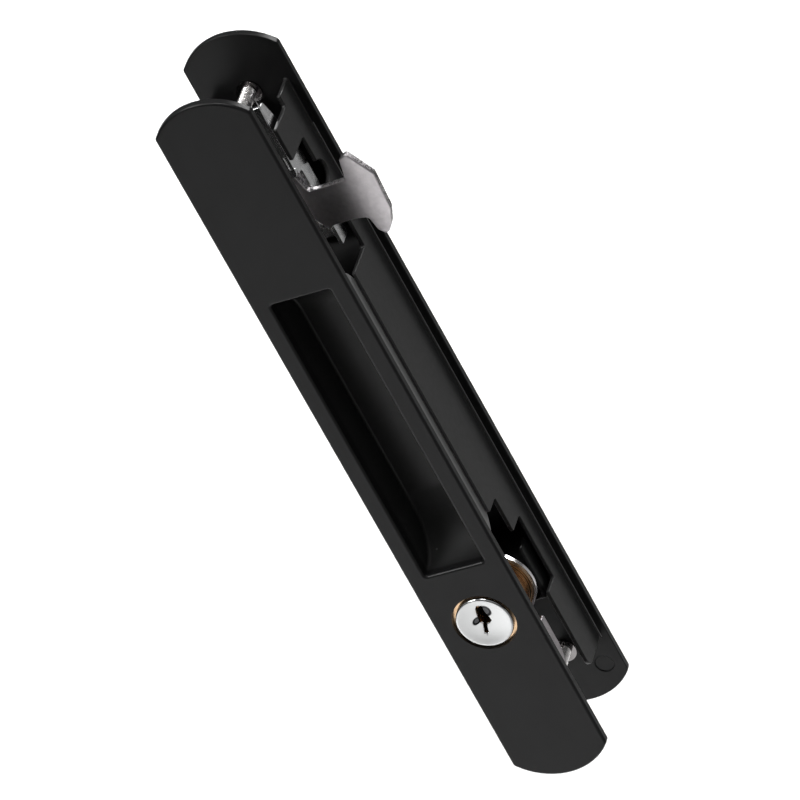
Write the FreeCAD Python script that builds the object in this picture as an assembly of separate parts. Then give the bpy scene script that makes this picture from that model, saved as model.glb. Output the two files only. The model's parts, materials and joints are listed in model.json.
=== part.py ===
import FreeCAD, Part

import math
import os

from FreeCAD import Vector

# A two-sided hook lock for a sliding door, in millimetres.
# The origin is the centre of the outside plate's seat on the door.
# +X points to the door's closing edge, where the hook comes out. +Y goes into the door. +Z is up.

# Door and plates
DOOR_T = 36.5            # thickness of the door stile between the plates
PLATE_W = 35.0
PLATE_LEN = 283.0
PLATE_T = 3.0
PLATE_END_R = 22.9       # radius of the arched ends
PLATE_CORNER_R = 2.0
PLATE_EDGE_R = 0.9       # round the outer face
PLATE_BACK_R = 0.3       # round the seat

# Finger pulls
PULL_HALF_W = 11.0
PULL_LIP = 1.5           # depth of the straight sides before the scoops start
PULL_MOUTH_R = 1.0
PULL_DRAFT = 0.3         # how much each side wall leans in from mouth to floor
PULL_CREASE_R = 1.0      # between side walls, scoops and floor
PULL_WALL = 1.5
OUTER_PULL_DEPTH = 16.5
INNER_PULL_DEPTH = 14.0
PAN_EDGE_R = 0.8
PULL_ABOVE_CYL = 23.0    # cylinder axis to the lower end of the mouth
PULL_BELOW_CASE = 1.8    # lower end of the lock case to the upper end of the mouth

# Side walls of the inside plate. A rim says how far forward the wall comes there.
WALL_IN_HALF = 12.8
WALL_OUT_HALF = 14.35
WALL_DRAFT = 0.3
WALL_END_R = 0.7         # the wall's ends are round as seen from the front
WALL_FOOT_R = 0.5
WALL_TIP_R = 3.0
WALL_STEP_R = 0.8
WALL_BELOW_CYL = 43.0
WALL_ABOVE_PIVOT = 12.2
RIM_FOOT = 20.3
RIM_CYLINDER = 28.7
RIM_SHOULDER = 19.9
RIM_PULL = 12.0
RIM_WINDOW = 26.8
RIM_CASE = 13.0
RIM_HEAD = 26.4
GAP_BELOW_CYL = 10.0     # the gap in the wall beside the cylinder
GAP_ABOVE_CYL = 17.0
SHOULDER_ABOVE_CYL = 31.5
WINDOW_BELOW_PIVOT = 50.0
WINDOW_TOP_DROP = 4.6    # pivot to the upper end of the window
CASE_RIM_RISE = 7.9
ARM_NOTCH_R = 4.3        # half-round notch in the rim beside the top of the arm

# Screws that join the plates
SCREW_INSET = 22.2       # end of the plate to the screw
SCREW_R = 2.5
SCREW_HEAD_R = 4.6
SCREW_TIP_Y = 6.0
SCREW_POINT = 0.6
THREAD_GAP = 0.03
HOLE_GAP = 0.25
POST_R = 4.5
POST_FLOOR = 0.5         # where the tapped hole ends behind the plate
LOWER_POST_LEN = 13.0
COLLAR_R = 4.4
COLLAR_T = 0.9
CROSS_W = 0.9
CROSS_DEPTH = 1.8

# Hook
HOOK_Y = 17.0            # front face of the hook
HOOK_T = 2.5
PIVOT_DROP = 11.3        # upper screw to the pivot
PIVOT_R = 2.5
PIVOT_BOSS_R = 6.5
PIVOT_COLLAR_R = 4.2
PIVOT_HEAD_R = 3.5
PIVOT_HEAD_T = 0.8
RUN_GAP = 0.05           # radial running fit
SIDE_GAP = 0.2           # axial running gap
HOOK_SWING = 41.0        # degrees from locked to open
TAIL_R = 9.5             # pivot to drive pin
TAIL_LOBE_R = 2.9
DRIVE_PIN_R = 1.5
ARM_DROP = 19.0          # pivot to the top of the arm
ARM_W = 15.0
ARM_ROOM = 7.0           # how far above the arm the side of the case stays open
NECK_OUT = 11.0          # outer side of the neck where it meets the arm
HEEL_X = 11.2            # inner side of the neck where it meets the arm
HEAD_IN = 25.3           # inner side of the head
HEAD_OUT = 35.3
HEAD_RISE = 9.2          # how far the head stands above the arm
HEAD_HANG = 8.1          # how far it hangs below the arm

# Lock case and its cover
SHEET_T = 1.5
CASE_HALF_W = 11.6
CASE_BELOW_PIVOT = 43.0
CASE_ABOVE_PIVOT = 3.8
CASE_BACK = 27.6
CASE_BEND_R = 2.0
CASE_CORNER_R = 5.0
COVER_Y = 15.3           # front face of the cover
COVER_BELOW_PIVOT = 12.0
COVER_ABOVE_PIVOT = 16.2
LUG_TOP_Y = 18.8
LUG_LOW_Y = 22.8
TAB_DROP = 4.0           # pivot to the top of the tab
TAB_LEN = 5.0
CASE_SCREW_X = 4.5
CASE_SCREW_DROPS = (35.0, 9.0)
CASE_SCREW_R = 2.0
CASE_SCREW_HEAD_R = 3.6
CASE_SCREW_HEAD_T = 2.2
CASE_POST_R = 4.0

# Drive bar
BAR_Y = 20.0
BAR_T = 2.0
BAR_X = -9.0             # middle of the bar
BAR_W = 5.0
BAR_HEAD_W = 6.2
BAR_HEAD_LEN = 10.0
BAR_SLOT_GAP = 0.1
FORK_GAP = 0.22
FORK_LIP = 2.8
GUIDE_GAP = 0.2
GUIDE_LEN = 8.0
GUIDE_PITCH = 38.0

# Key cylinder
CYL_RISE = 44.3          # lower screw to the cylinder axis
CYL_HOLE_R = 11.0
CYL_R = 10.9
CYL_FRONT = -1.3
CYL_FLANGE_Y = 15.0
CYL_FLANGE_R = 13.0
CYL_FLANGE_T = 1.4
RING_R = 13.85
RING_FRONT = 15.5
RING_BACK = 17.2
RING_LIP_R = 8.6
HEAD_POCKET_R = 9.87
HEAD_BACK = -0.3
PLUG_R = 6.5
PLUG_END = 17.35
PLUG_GROOVE_R = 5.6
CLIP_T = 0.6
CAP_R = 9.8
CAP_T = 0.5
CAP_FRONT = -3.3
CAP_DISH = 0.6
CAP_SKIRT_BACK = -1.0
KEYWAY_TILT = 14.0       # degrees, the upper end leans towards the hook side
KEYWAY_HIGH = 5.4        # plug axis to the upper end of the key's slot
KEYWAY_MOUTH_HIGH = 6.9  # the same in the face, where the slot is cut longer
KEYWAY_END = 14.2
TANG_W = 6.0
TANG_T = 2.0
PIN_R = 1.2
PIN_TIP_R = 0.5
PIN_PITCH = 3.0
PIN_COUNT = 4
FIRST_PIN_Y = 2.8
KEY_PIN_LEN = 3.8
DRIVER_LEN = 1.7
PIN_BORE_END = 10.3      # plug axis to the closed end of each bore
SPRING_R = 1.1
SPRING_WIRE = 0.3

# Cylinder bracket
BRACKET_T = 1.5
BRACKET_HALF_W = 12.5
BRACKET_ABOVE_CYL = 9.0
BRACKET_BELOW_SCREW = 4.7
FLANGE_BELOW_CYL = 12.5  # cylinder axis to the upper end of the side flanges
FLANGE_LEN = 21.5
FLANGE_DEPTH = 12.4
FORK_HALF_W = 9.65
STUB_R = 1.5
STUB_HEAD_R = 2.6
STUB_HEAD_T = 0.8
STUB_X = 7.0
STUB_BELOW_CYL = 20.0

# Cam, spindle and inside turn
CAM_Y = 17.6
CAM_T = 2.2
CAM_R = 7.5
CAM_POCKET = 1.25
KEY_TURN = 90.0          # degrees from locked to open
CRANK_PIN_R = 1.2
SPINDLE_R = 2.2
SQUARE = 3.6
SQUARE_GAP = 0.06
TURN_HUB_R = 6.0
TURN_HUB_LEN = 2.3       # how far the hub goes on behind the plate
TURN_BASE_R = 11.0
TURN_BASE_T = 2.3
TURN_GRIP_L = 22.0
TURN_GRIP_W = 6.0
TURN_GRIP_H = 10.0
TURN_CLIP_R = 7.2
TURN_CLIP_T = 0.7
TURN_GROOVE_R = 5.2
WASHER_R = 7.4
WASHER_T = 0.5

# Housing behind the cylinder: a broad slab in front, and a narrower body that stands on the plate
HOUSING_Y = 22.4
HOUSING_T = 6.6
HOUSING_HALF_W = 11.7
HOUSING_ABOVE_CYL = 8.0
HOUSING_BELOW_CYL = 13.5
HOUSING_EDGE_R = 1.0
BODY_HALF_W = 10.8
BODY_ROOM_R = 7.6        # hollow for the clip and washer of the turn
BUSH_R = 3.5
BUSH_FLANGE_R = 5.2
BUSH_FLANGE_T = 1.2
HOUSING_SCREW_X = 7.4
HOUSING_SCREW_DROP = 10.0
HOUSING_SCREW_R = 1.5
HOUSING_SCREW_HEAD_R = 2.7
HOUSING_SCREW_HEAD_T = 1.8
HOUSING_WEB = 1.5        # what each screw head clamps
HOUSING_BOSS_R = 2.6
HOUSING_BOSS_LEN = 5.0

# Round marks of the ejector pins on the seat of the inside plate
MARK_R = 3.3
MARK_DEPTH = 0.2
MARK_X = 10.7
MARK_INSET = 12.7        # end of the plate to the mark

# Worked out from the sizes above
OUTER_FACE = -PLATE_T
INNER_SEAT = DOOR_T
INNER_FACE = DOOR_T + PLATE_T
SCREW_Z = PLATE_LEN / 2 - SCREW_INSET
SCREW_ZS = (SCREW_Z, -SCREW_Z)
PIVOT_Z = SCREW_Z - PIVOT_DROP
CYL_Z = CYL_RISE - SCREW_Z
ARM_TOP = PIVOT_Z - ARM_DROP
ARM_LOW = ARM_TOP - ARM_W
HEAD_TOP = ARM_TOP + HEAD_RISE
HEAD_LOW = ARM_LOW - HEAD_HANG
CASE_LOW = PIVOT_Z - CASE_BELOW_PIVOT
CASE_HIGH = PIVOT_Z + CASE_ABOVE_PIVOT
CASE_SCREW_ZS = [PIVOT_Z - drop for drop in CASE_SCREW_DROPS]
PULL_TOP = CASE_LOW - PULL_BELOW_CASE
PULL_BOTTOM = CYL_Z + PULL_ABOVE_CYL
PULL_MIDDLE = (PULL_TOP + PULL_BOTTOM) / 2
WALL_BOTTOM = CYL_Z - WALL_BELOW_CYL
WALL_TOP = PIVOT_Z + WALL_ABOVE_PIVOT
CYLINDER_GAP_LOW = CYL_Z - GAP_BELOW_CYL
CYLINDER_GAP_HIGH = CYL_Z + GAP_ABOVE_CYL
SHOULDER_HIGH = CYL_Z + SHOULDER_ABOVE_CYL
WINDOW_LOW = PIVOT_Z - WINDOW_BELOW_PIVOT
WINDOW_HIGH = PIVOT_Z - WINDOW_TOP_DROP
CASE_RIM_HIGH = PIVOT_Z + CASE_RIM_RISE
GUIDE_ZS = [PULL_MIDDLE + step * GUIDE_PITCH for step in (-1, 0, 1)]
HALF_SWING = math.radians(HOOK_SWING / 2)
TAIL_X = -TAIL_R * math.cos(HALF_SWING)
TAIL_Z = PIVOT_Z - TAIL_R * math.sin(HALF_SWING)
STROKE = 2 * TAIL_R * math.sin(HALF_SWING)
HALF_TURN = math.radians(KEY_TURN / 2)
CRANK_R = STROKE / (2 * math.sin(HALF_TURN))
CRANK_X = -CRANK_R * math.cos(HALF_TURN)
CRANK_Z = CYL_Z - CRANK_R * math.sin(HALF_TURN)
HOOK_BACK = HOOK_Y + HOOK_T
BAR_BACK = BAR_Y + BAR_T
COVER_BACK = COVER_Y + SHEET_T
COVER_LOW = PIVOT_Z - COVER_BELOW_PIVOT
COVER_HIGH = PIVOT_Z + COVER_ABOVE_PIVOT
TAB_HIGH = PIVOT_Z - TAB_DROP
TAB_LOW = TAB_HIGH - TAB_LEN
CASE_WEB = CASE_BACK - SHEET_T
CAM_BACK = CAM_Y + CAM_T
HOUSING_BACK = HOUSING_Y + HOUSING_T
HOUSING_SCREW_Z = CYL_Z - HOUSING_SCREW_DROP
HOUSING_BOSS_END = INNER_SEAT - HOUSING_BOSS_LEN
HOUSING_SCREW_SEAT = HOUSING_BOSS_END - SIDE_GAP - HOUSING_WEB
CYL_FLANGE_BACK = CYL_FLANGE_Y + CYL_FLANGE_T
STUB_Z = CYL_Z - STUB_BELOW_CYL
BRACKET_HIGH = CYL_Z + BRACKET_ABOVE_CYL
BRACKET_LOW = -SCREW_Z - BRACKET_BELOW_SCREW
FLANGE_HIGH = CYL_Z - FLANGE_BELOW_CYL
FLANGE_LOW = FLANGE_HIGH - FLANGE_LEN
PIN_YS = [FIRST_PIN_Y + step * PIN_PITCH for step in range(PIN_COUNT)]
SHEAR_LINE = math.sqrt(PLUG_R ** 2 - PIN_R ** 2)
KEY_PIN_LOW = SHEAR_LINE - KEY_PIN_LEN
DRIVER_LOW = PLUG_R + 2 * RUN_GAP
EPS = 1e-4


def box(x0, x1, y0, y1, z0, z1):
    return Part.makeBox(x1 - x0, y1 - y0, z1 - z0, Vector(x0, y0, z0))


def rod(x, z, r, y0, y1):
    """A round rod along Y."""
    return Part.makeCylinder(r, y1 - y0, Vector(x, y0, z), Vector(0, 1, 0))


def rod_up(r, z0, z1):
    """A round rod along Z, on the origin's axis."""
    return Part.makeCylinder(r, z1 - z0, Vector(0, 0, z0))


def tube(x, z, r_out, r_in, y0, y1):
    return rod(x, z, r_out, y0, y1).cut(rod(x, z, r_in, y0 - 1, y1 + 1))


def mirrored_x(shape):
    return shape.mirror(Vector(0, 0, 0), Vector(1, 0, 0))


def both_sides(shape):
    return [shape, mirrored_x(shape)]


def in_xz(u, w):
    return Vector(u, 0, w)


def in_yz(u, w):
    return Vector(0, u, w)


def in_xy(u, w):
    return Vector(u, w, 0)


def rounded_outline(corners, place):
    """A closed wire through corners (u, w, radius), each one rounded by a tangent arc."""
    points = [place(u, w) for u, w, r in corners]
    stretches = []
    for i, (u, w, r) in enumerate(corners):
        here = points[i]
        back = (points[i - 1] - here).normalize()
        ahead = (points[(i + 1) % len(points)] - here).normalize()
        if r == 0:
            stretches.append((here, None, here))
            continue
        half = back.getAngle(ahead) / 2
        middle = (back + ahead).normalize()
        reach = r / math.tan(half)
        centre = here + middle * (r / math.sin(half))
        stretches.append((here + back * reach, centre - middle * r, here + ahead * reach))
    edges = []
    for i, (start, middle, end) in enumerate(stretches):
        if middle is not None:
            edges.append(Part.Arc(start, middle, end).toShape())
        follower = stretches[(i + 1) % len(stretches)][0]
        if end.distanceToPoint(follower) > EPS:
            edges.append(Part.LineSegment(end, follower).toShape())
    return Part.Wire(edges)


def prism_y(corners, y0, y1):
    """An outline in (x, z), drawn out along Y."""
    face = Part.Face(rounded_outline(corners, in_xz))
    face.translate(Vector(0, y0, 0))
    return face.extrude(Vector(0, y1 - y0, 0))


def prism_x(corners, x0, x1):
    """An outline in (y, z), drawn out along X."""
    face = Part.Face(rounded_outline(corners, in_yz))
    face.translate(Vector(x0, 0, 0))
    return face.extrude(Vector(x1 - x0, 0, 0))


def prism_z(corners, z0, z1):
    """An outline in (x, y), drawn out along Z."""
    face = Part.Face(rounded_outline(corners, in_xy))
    face.translate(Vector(0, 0, z0))
    return face.extrude(Vector(0, 0, z1 - z0))


def turned_y(profile, x, z):
    """A closed outline of (radius, y) points, revolved about an axis along Y."""
    points = [Vector(r, y, 0) for r, y in profile]
    points.append(points[0])
    solid = Part.Face(Part.makePolygon(points)).revolve(Vector(0, 0, 0), Vector(0, 1, 0), 360)
    solid.translate(Vector(x, 0, z))
    return solid


def edges_at_y(shape, y):
    found = []
    for edge in shape.Edges:
        bounds = edge.BoundBox
        if abs(bounds.YMin - y) < EPS and abs(bounds.YMax - y) < EPS:
            found.append(edge)
    return found


def straight_edges_along(shape, axis):
    found = []
    for edge in shape.Edges:
        if edge.Curve.TypeId != "Part::GeomLine":
            continue
        start = edge.Vertexes[0].Point
        end = edge.Vertexes[-1].Point
        run = (end - start).normalize()
        if abs(run.dot(axis)) > 1 - EPS:
            found.append(edge)
    return found


def fused(shapes):
    return shapes[0].multiFuse(shapes[1:]).removeSplitter()


def plate_blank(seat, face):
    """A flat plate with arched ends and rounded edges. It lies between two values of Y."""
    half_w = PLATE_W / 2
    half_l = PLATE_LEN / 2
    corner = half_l - PLATE_END_R + math.sqrt(PLATE_END_R ** 2 - half_w ** 2)
    edges = [
        Part.LineSegment(in_xz(half_w, -corner), in_xz(half_w, corner)).toShape(),
        Part.Arc(in_xz(half_w, corner), in_xz(0, half_l), in_xz(-half_w, corner)).toShape(),
        Part.LineSegment(in_xz(-half_w, corner), in_xz(-half_w, -corner)).toShape(),
        Part.Arc(in_xz(-half_w, -corner), in_xz(0, -half_l), in_xz(half_w, -corner)).toShape(),
    ]
    outline = Part.Face(Part.Wire(edges))
    outline.translate(Vector(0, seat, 0))
    blank = outline.extrude(Vector(0, face - seat, 0))
    blank = blank.makeFillet(PLATE_CORNER_R, straight_edges_along(blank, Vector(0, 1, 0)))
    blank = blank.makeFillet(PLATE_EDGE_R, edges_at_y(blank, face))
    return blank.makeFillet(PLATE_BACK_R, edges_at_y(blank, seat))


def scoop_profile(depth, wall):
    """Side view of a pull: flat floor, a quarter-round scoop at each end. y counts from the mouth.

    With a wall it is the back of the pan, and without one it is the hollow, open to the front.
    """
    scoop_r = depth - PULL_LIP
    high = PULL_TOP - scoop_r
    low = PULL_BOTTOM + scoop_r
    r = scoop_r + wall
    front = PULL_LIP if wall else -1
    slant = math.sqrt(0.5)
    edges = []

    def scoop(centre, side):
        start = in_yz(PULL_LIP, centre + side * r)
        bulge = in_yz(PULL_LIP + slant * r, centre + side * slant * r)
        edges.append(Part.Arc(start, bulge, in_yz(PULL_LIP + r, centre)).toShape())
        if not wall:
            edges.append(Part.LineSegment(start, in_yz(front, centre + side * r)).toShape())

    scoop(high, 1)
    scoop(low, -1)
    edges.append(Part.LineSegment(in_yz(PULL_LIP + r, high), in_yz(PULL_LIP + r, low)).toShape())
    edges.append(Part.LineSegment(in_yz(front, low - r), in_yz(front, high + r)).toShape())
    return Part.Wire(Part.__sortEdges__(edges))


def pull_hollow(depth):
    """The space of a finger pull. Its mouth is at y = 0 and its floor at y = depth."""
    face = Part.Face(scoop_profile(depth, 0))
    face.translate(Vector(-PULL_HALF_W - 1, 0, 0))
    block = face.extrude(Vector(2 * PULL_HALF_W + 2, 0, 0))
    floor_half = PULL_HALF_W - PULL_DRAFT
    lean = PULL_DRAFT / depth
    sides = prism_z([
        (-PULL_HALF_W - lean, -1, 0),
        (PULL_HALF_W + lean, -1, 0),
        (floor_half, depth, 0),
        (-floor_half, depth, 0),
    ], PULL_BOTTOM, PULL_TOP)
    hollow = block.common(sides)
    crease = []
    for edge in hollow.Edges:
        bounds = edge.BoundBox
        if bounds.XMin * bounds.XMax > 0 and bounds.YMax > EPS:
            crease.append(edge)
    return hollow.makeFillet(PULL_CREASE_R, crease)


def pull_pan(depth, half_w):
    """The outside of the pan behind a plate."""
    face = Part.Face(scoop_profile(depth, PULL_WALL))
    face.translate(Vector(-half_w, 0, 0))
    pan = face.extrude(Vector(2 * half_w, 0, 0))
    rims = []
    for edge in pan.Edges:
        bounds = edge.BoundBox
        if abs(bounds.XMax - bounds.XMin) < EPS and bounds.YMax > PULL_LIP + EPS:
            rims.append(edge)
    return pan.makeFillet(PAN_EDGE_R, rims)


def on_outside_plate(shape):
    shape.translate(Vector(0, OUTER_FACE, 0))
    return shape


def on_inside_plate(shape):
    turned = shape.mirror(Vector(0, 0, 0), Vector(0, 1, 0))
    turned.translate(Vector(0, INNER_FACE, 0))
    return turned


def with_pull(plate, depth, pan_half_w, place, face):
    """Join a pull to a plate: its pan behind, its hollow cut in from the face, its mouth rounded."""
    dished = fused([plate, place(pull_pan(depth, pan_half_w))])
    dished = dished.cut(place(pull_hollow(depth)))
    mouth = []
    for edge in edges_at_y(dished, face):
        bounds = edge.BoundBox
        if bounds.ZMin > PULL_BOTTOM - 1 and bounds.ZMax < PULL_TOP + 1:
            mouth.append(edge)
    return dished.makeFillet(PULL_MOUTH_R, mouth)


def outside_plate():
    upper, lower = SCREW_ZS
    pan_half_w = PULL_HALF_W + PULL_WALL
    body = [
        with_pull(plate_blank(0, OUTER_FACE), OUTER_PULL_DEPTH, pan_half_w, on_outside_plate, OUTER_FACE),
        rod(0, upper, POST_R, -1, COVER_Y),
        rod(0, lower, POST_R, -1, LOWER_POST_LEN),
    ]
    for side in (1, -1):
        body.append(rod(side * STUB_X, STUB_Z, STUB_R, -1, BRACKET_T))
        body.append(rod(side * STUB_X, STUB_Z, STUB_HEAD_R, BRACKET_T, BRACKET_T + STUB_HEAD_T))
    plate = fused(body)
    cuts = [
        rod(0, CYL_Z, CYL_HOLE_R, OUTER_FACE - 1, 1),
        rod(0, upper, SCREW_R + THREAD_GAP, POST_FLOOR, COVER_Y + 1),
        rod(0, lower, SCREW_R + THREAD_GAP, POST_FLOOR, LOWER_POST_LEN + 1),
    ]
    return plate.cut(Part.makeCompound(cuts))


def side_wall():
    """The right-hand wall of the inside plate, stepped round what it passes and drafted outside."""
    wall = prism_x([
        (INNER_SEAT + 1, WALL_BOTTOM, 0),
        (RIM_FOOT, WALL_BOTTOM, WALL_TIP_R),
        (RIM_FOOT, CYLINDER_GAP_LOW, WALL_STEP_R),
        (RIM_CYLINDER, CYLINDER_GAP_LOW, WALL_STEP_R),
        (RIM_CYLINDER, CYLINDER_GAP_HIGH, WALL_STEP_R),
        (RIM_SHOULDER, CYLINDER_GAP_HIGH, WALL_STEP_R),
        (RIM_SHOULDER, SHOULDER_HIGH, WALL_STEP_R),
        (RIM_PULL, SHOULDER_HIGH, WALL_STEP_R),
        (RIM_PULL, WINDOW_LOW, WALL_STEP_R),
        (RIM_WINDOW, WINDOW_LOW, WALL_STEP_R),
        (RIM_WINDOW, WINDOW_HIGH, WALL_STEP_R),
        (RIM_CASE, WINDOW_HIGH, WALL_STEP_R),
        (RIM_CASE, CASE_RIM_HIGH, WALL_STEP_R),
        (RIM_HEAD, CASE_RIM_HIGH, WALL_STEP_R),
        (RIM_HEAD, WALL_TOP, WALL_STEP_R),
        (INNER_SEAT + 1, WALL_TOP, 0),
    ], WALL_IN_HALF, WALL_OUT_HALF)
    section = prism_z([
        (WALL_IN_HALF, INNER_SEAT + 1, 0),
        (WALL_OUT_HALF, INNER_SEAT + 1, 0),
        (WALL_OUT_HALF, INNER_SEAT, 0),
        (WALL_OUT_HALF - WALL_DRAFT, RIM_PULL, 0),
        (WALL_IN_HALF, RIM_PULL, 0),
    ], WALL_BOTTOM, WALL_TOP)
    ends = prism_y([
        (WALL_IN_HALF, WALL_BOTTOM, WALL_END_R),
        (WALL_OUT_HALF, WALL_BOTTOM, WALL_END_R),
        (WALL_OUT_HALF, WALL_TOP, WALL_END_R),
        (WALL_IN_HALF, WALL_TOP, WALL_END_R),
    ], RIM_PULL, INNER_SEAT + 1)
    notch = Part.makeCylinder(ARM_NOTCH_R, WALL_OUT_HALF, Vector(0, RIM_WINDOW, ARM_TOP), Vector(1, 0, 0))
    return wall.common(section).common(ends).cut(notch)


def bar_guides():
    """Cast pads on the back of the inside pull that keep the drive bar in line."""
    back = INNER_FACE - INNER_PULL_DEPTH - PULL_WALL
    lip = BAR_W / 2 + GUIDE_GAP
    pads = []
    for z in GUIDE_ZS:
        low = z - GUIDE_LEN / 2
        high = z + GUIDE_LEN / 2
        pads.append(box(-WALL_IN_HALF - 0.5, BAR_X + lip + 0.8, BAR_BACK + GUIDE_GAP, back + 0.5, low, high))
        pads.append(box(-WALL_IN_HALF - 0.5, BAR_X - lip, BAR_Y + 0.6, BAR_BACK + 1, low, high))
        pads.append(box(BAR_X + lip, BAR_X + lip + 0.8, BAR_Y + 0.6, BAR_BACK + 1, low, high))
    return pads


def inside_plate():
    plate = fused([plate_blank(INNER_SEAT, INNER_FACE)] + both_sides(side_wall()))
    feet = []
    for edge in edges_at_y(plate, INNER_SEAT):
        bounds = edge.BoundBox
        if bounds.XMin * bounds.XMax > 0 and max(-bounds.XMin, bounds.XMax) < WALL_OUT_HALF + EPS:
            feet.append(edge)
    plate = plate.makeFillet(WALL_FOOT_R, feet)
    body = [with_pull(plate, INNER_PULL_DEPTH, WALL_IN_HALF + 0.5, on_inside_plate, INNER_FACE)]
    body += bar_guides()
    for z in CASE_SCREW_ZS:
        body.append(rod(CASE_SCREW_X, z, CASE_POST_R, CASE_BACK, INNER_SEAT + 1))
    for side in (1, -1):
        body.append(rod(side * HOUSING_SCREW_X, HOUSING_SCREW_Z, HOUSING_BOSS_R, HOUSING_BOSS_END,
                        INNER_SEAT + 1))
    plate = fused(body)
    cuts = [rod(0, CYL_Z, TURN_HUB_R + RUN_GAP, INNER_SEAT - 1, INNER_FACE + 1)]
    sink = SCREW_HEAD_R + RUN_GAP
    for z in SCREW_ZS:
        cuts.append(rod(0, z, SCREW_R + HOLE_GAP, INNER_SEAT - 1, INNER_FACE + 1))
        cuts.append(turned_y([(0, INNER_FACE - sink), (sink, INNER_FACE), (sink, INNER_FACE + 1),
                              (0, INNER_FACE + 1)], 0, z))
    for z in CASE_SCREW_ZS:
        cuts.append(rod(CASE_SCREW_X, z, CASE_SCREW_R + THREAD_GAP, CASE_BACK - 1, INNER_SEAT - 1))
    for side in (1, -1):
        cuts.append(rod(side * HOUSING_SCREW_X, HOUSING_SCREW_Z, HOUSING_SCREW_R + THREAD_GAP,
                        HOUSING_BOSS_END - 1, INNER_SEAT))
        cuts.append(rod(side * MARK_X, MARK_INSET - PLATE_LEN / 2, MARK_R, INNER_SEAT - 1,
                        INNER_SEAT + MARK_DEPTH))
    return plate.cut(Part.makeCompound(cuts))


def cross_recess(x, z, mouth, depth_sign, size):
    """A cross driver recess, cut in from a screw's head."""
    bottom = mouth + depth_sign * CROSS_DEPTH
    low = min(mouth, bottom)
    high = max(mouth, bottom)
    across = box(x - size, x + size, low, high, z - CROSS_W / 2, z + CROSS_W / 2)
    upright = box(x - CROSS_W / 2, x + CROSS_W / 2, low, high, z - size, z + size)
    return across.fuse(upright)


def fixing_screws():
    screws = []
    for z in SCREW_ZS:
        screw = turned_y([
            (0, SCREW_TIP_Y),
            (SCREW_R - SCREW_POINT, SCREW_TIP_Y),
            (SCREW_R, SCREW_TIP_Y + SCREW_POINT),
            (SCREW_R, INNER_FACE - SCREW_HEAD_R + SCREW_R),
            (SCREW_HEAD_R, INNER_FACE - EPS),
            (0, INNER_FACE - EPS),
        ], 0, z)
        screws.append(screw.cut(cross_recess(0, z, INNER_FACE, -1, SCREW_R)))
    return Part.makeCompound(screws)


def screw_collars():
    collars = []
    for z in SCREW_ZS:
        collars.append(tube(0, z, COLLAR_R, SCREW_R + RUN_GAP, INNER_SEAT - COLLAR_T, INNER_SEAT))
    return Part.makeCompound(collars)


def hook():
    """A flat lever: pivot boss, tail lobe for the drive pin, arm, and the head that grips the keeper."""
    head_w = HEAD_OUT - HEAD_IN
    head_and_arm = prism_y([
        (PIVOT_BOSS_R * 0.71, PIVOT_Z + PIVOT_BOSS_R * 0.31, 0),
        (NECK_OUT * 0.84, ARM_TOP + ARM_W * 0.43, 3.0),
        (NECK_OUT, ARM_TOP - ARM_W * 0.03, 1.5),
        (HEAD_IN - head_w * 0.05, ARM_TOP, 1.0),
        (HEAD_IN + head_w * 0.10, HEAD_TOP - HEAD_RISE * 0.14, 1.2),
        (HEAD_IN + head_w * 0.40, HEAD_TOP, 1.0),
        (HEAD_OUT - head_w * 0.035, ARM_TOP - ARM_W * 0.033, 0.5),
        (HEAD_OUT - head_w * 0.105, ARM_LOW + ARM_W * 0.033, 1.5),
        (HEAD_OUT - head_w * 0.32, HEAD_LOW + HEAD_HANG * 0.43, 3.0),
        (HEAD_IN + head_w * 0.44, HEAD_LOW + HEAD_HANG * 0.06, 1.2),
        (HEAD_IN + head_w * 0.31, HEAD_LOW, 0.8),
        (HEAD_IN + head_w * 0.11, HEAD_LOW + HEAD_HANG * 0.26, 2.0),
        (HEAD_IN + head_w * 0.01, ARM_LOW - HEAD_HANG * 0.07, 1.6),
        (HEAD_IN - head_w * 0.49, ARM_LOW + ARM_W * 0.02, 3.0),
        (HEEL_X + ARM_W * 0.12, ARM_LOW, 1.5),
        (HEEL_X, ARM_LOW - ARM_W * 0.09, 0.7),
        (HEEL_X * 0.71, ARM_LOW + ARM_W * 0.27, 1.5),
        (HEEL_X * 0.32, ARM_LOW + ARM_W * 0.67, 6.0),
        (PIVOT_BOSS_R * -0.95, PIVOT_Z - PIVOT_BOSS_R * 0.29, 0),
    ], HOOK_Y, HOOK_BACK)
    lever = fused([
        head_and_arm,
        rod(0, PIVOT_Z, PIVOT_BOSS_R, HOOK_Y, HOOK_BACK),
        rod(TAIL_X, TAIL_Z, TAIL_LOBE_R, HOOK_Y, HOOK_BACK),
        tail_web(),
    ])
    lever = lever.cut(rod(0, PIVOT_Z, PIVOT_R + RUN_GAP, HOOK_Y - 1, HOOK_BACK + 1))
    return lever.cut(rod(TAIL_X, TAIL_Z, DRIVE_PIN_R + THREAD_GAP, HOOK_Y - 1, HOOK_BACK + 1))


def tail_web():
    """The web between the boss and the tail lobe, along their outer tangents."""
    reach = math.hypot(TAIL_X, TAIL_Z - PIVOT_Z)
    heading = math.atan2(TAIL_Z - PIVOT_Z, TAIL_X)
    lean = math.acos((PIVOT_BOSS_R - TAIL_LOBE_R) / reach)
    corners = []
    for x, z, r, turn in ((0, PIVOT_Z, PIVOT_BOSS_R, lean), (TAIL_X, TAIL_Z, TAIL_LOBE_R, lean),
                          (TAIL_X, TAIL_Z, TAIL_LOBE_R, -lean), (0, PIVOT_Z, PIVOT_BOSS_R, -lean)):
        corners.append((x + r * math.cos(heading + turn), z + r * math.sin(heading + turn), 0))
    return prism_y(corners, HOOK_Y, HOOK_BACK)


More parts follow.
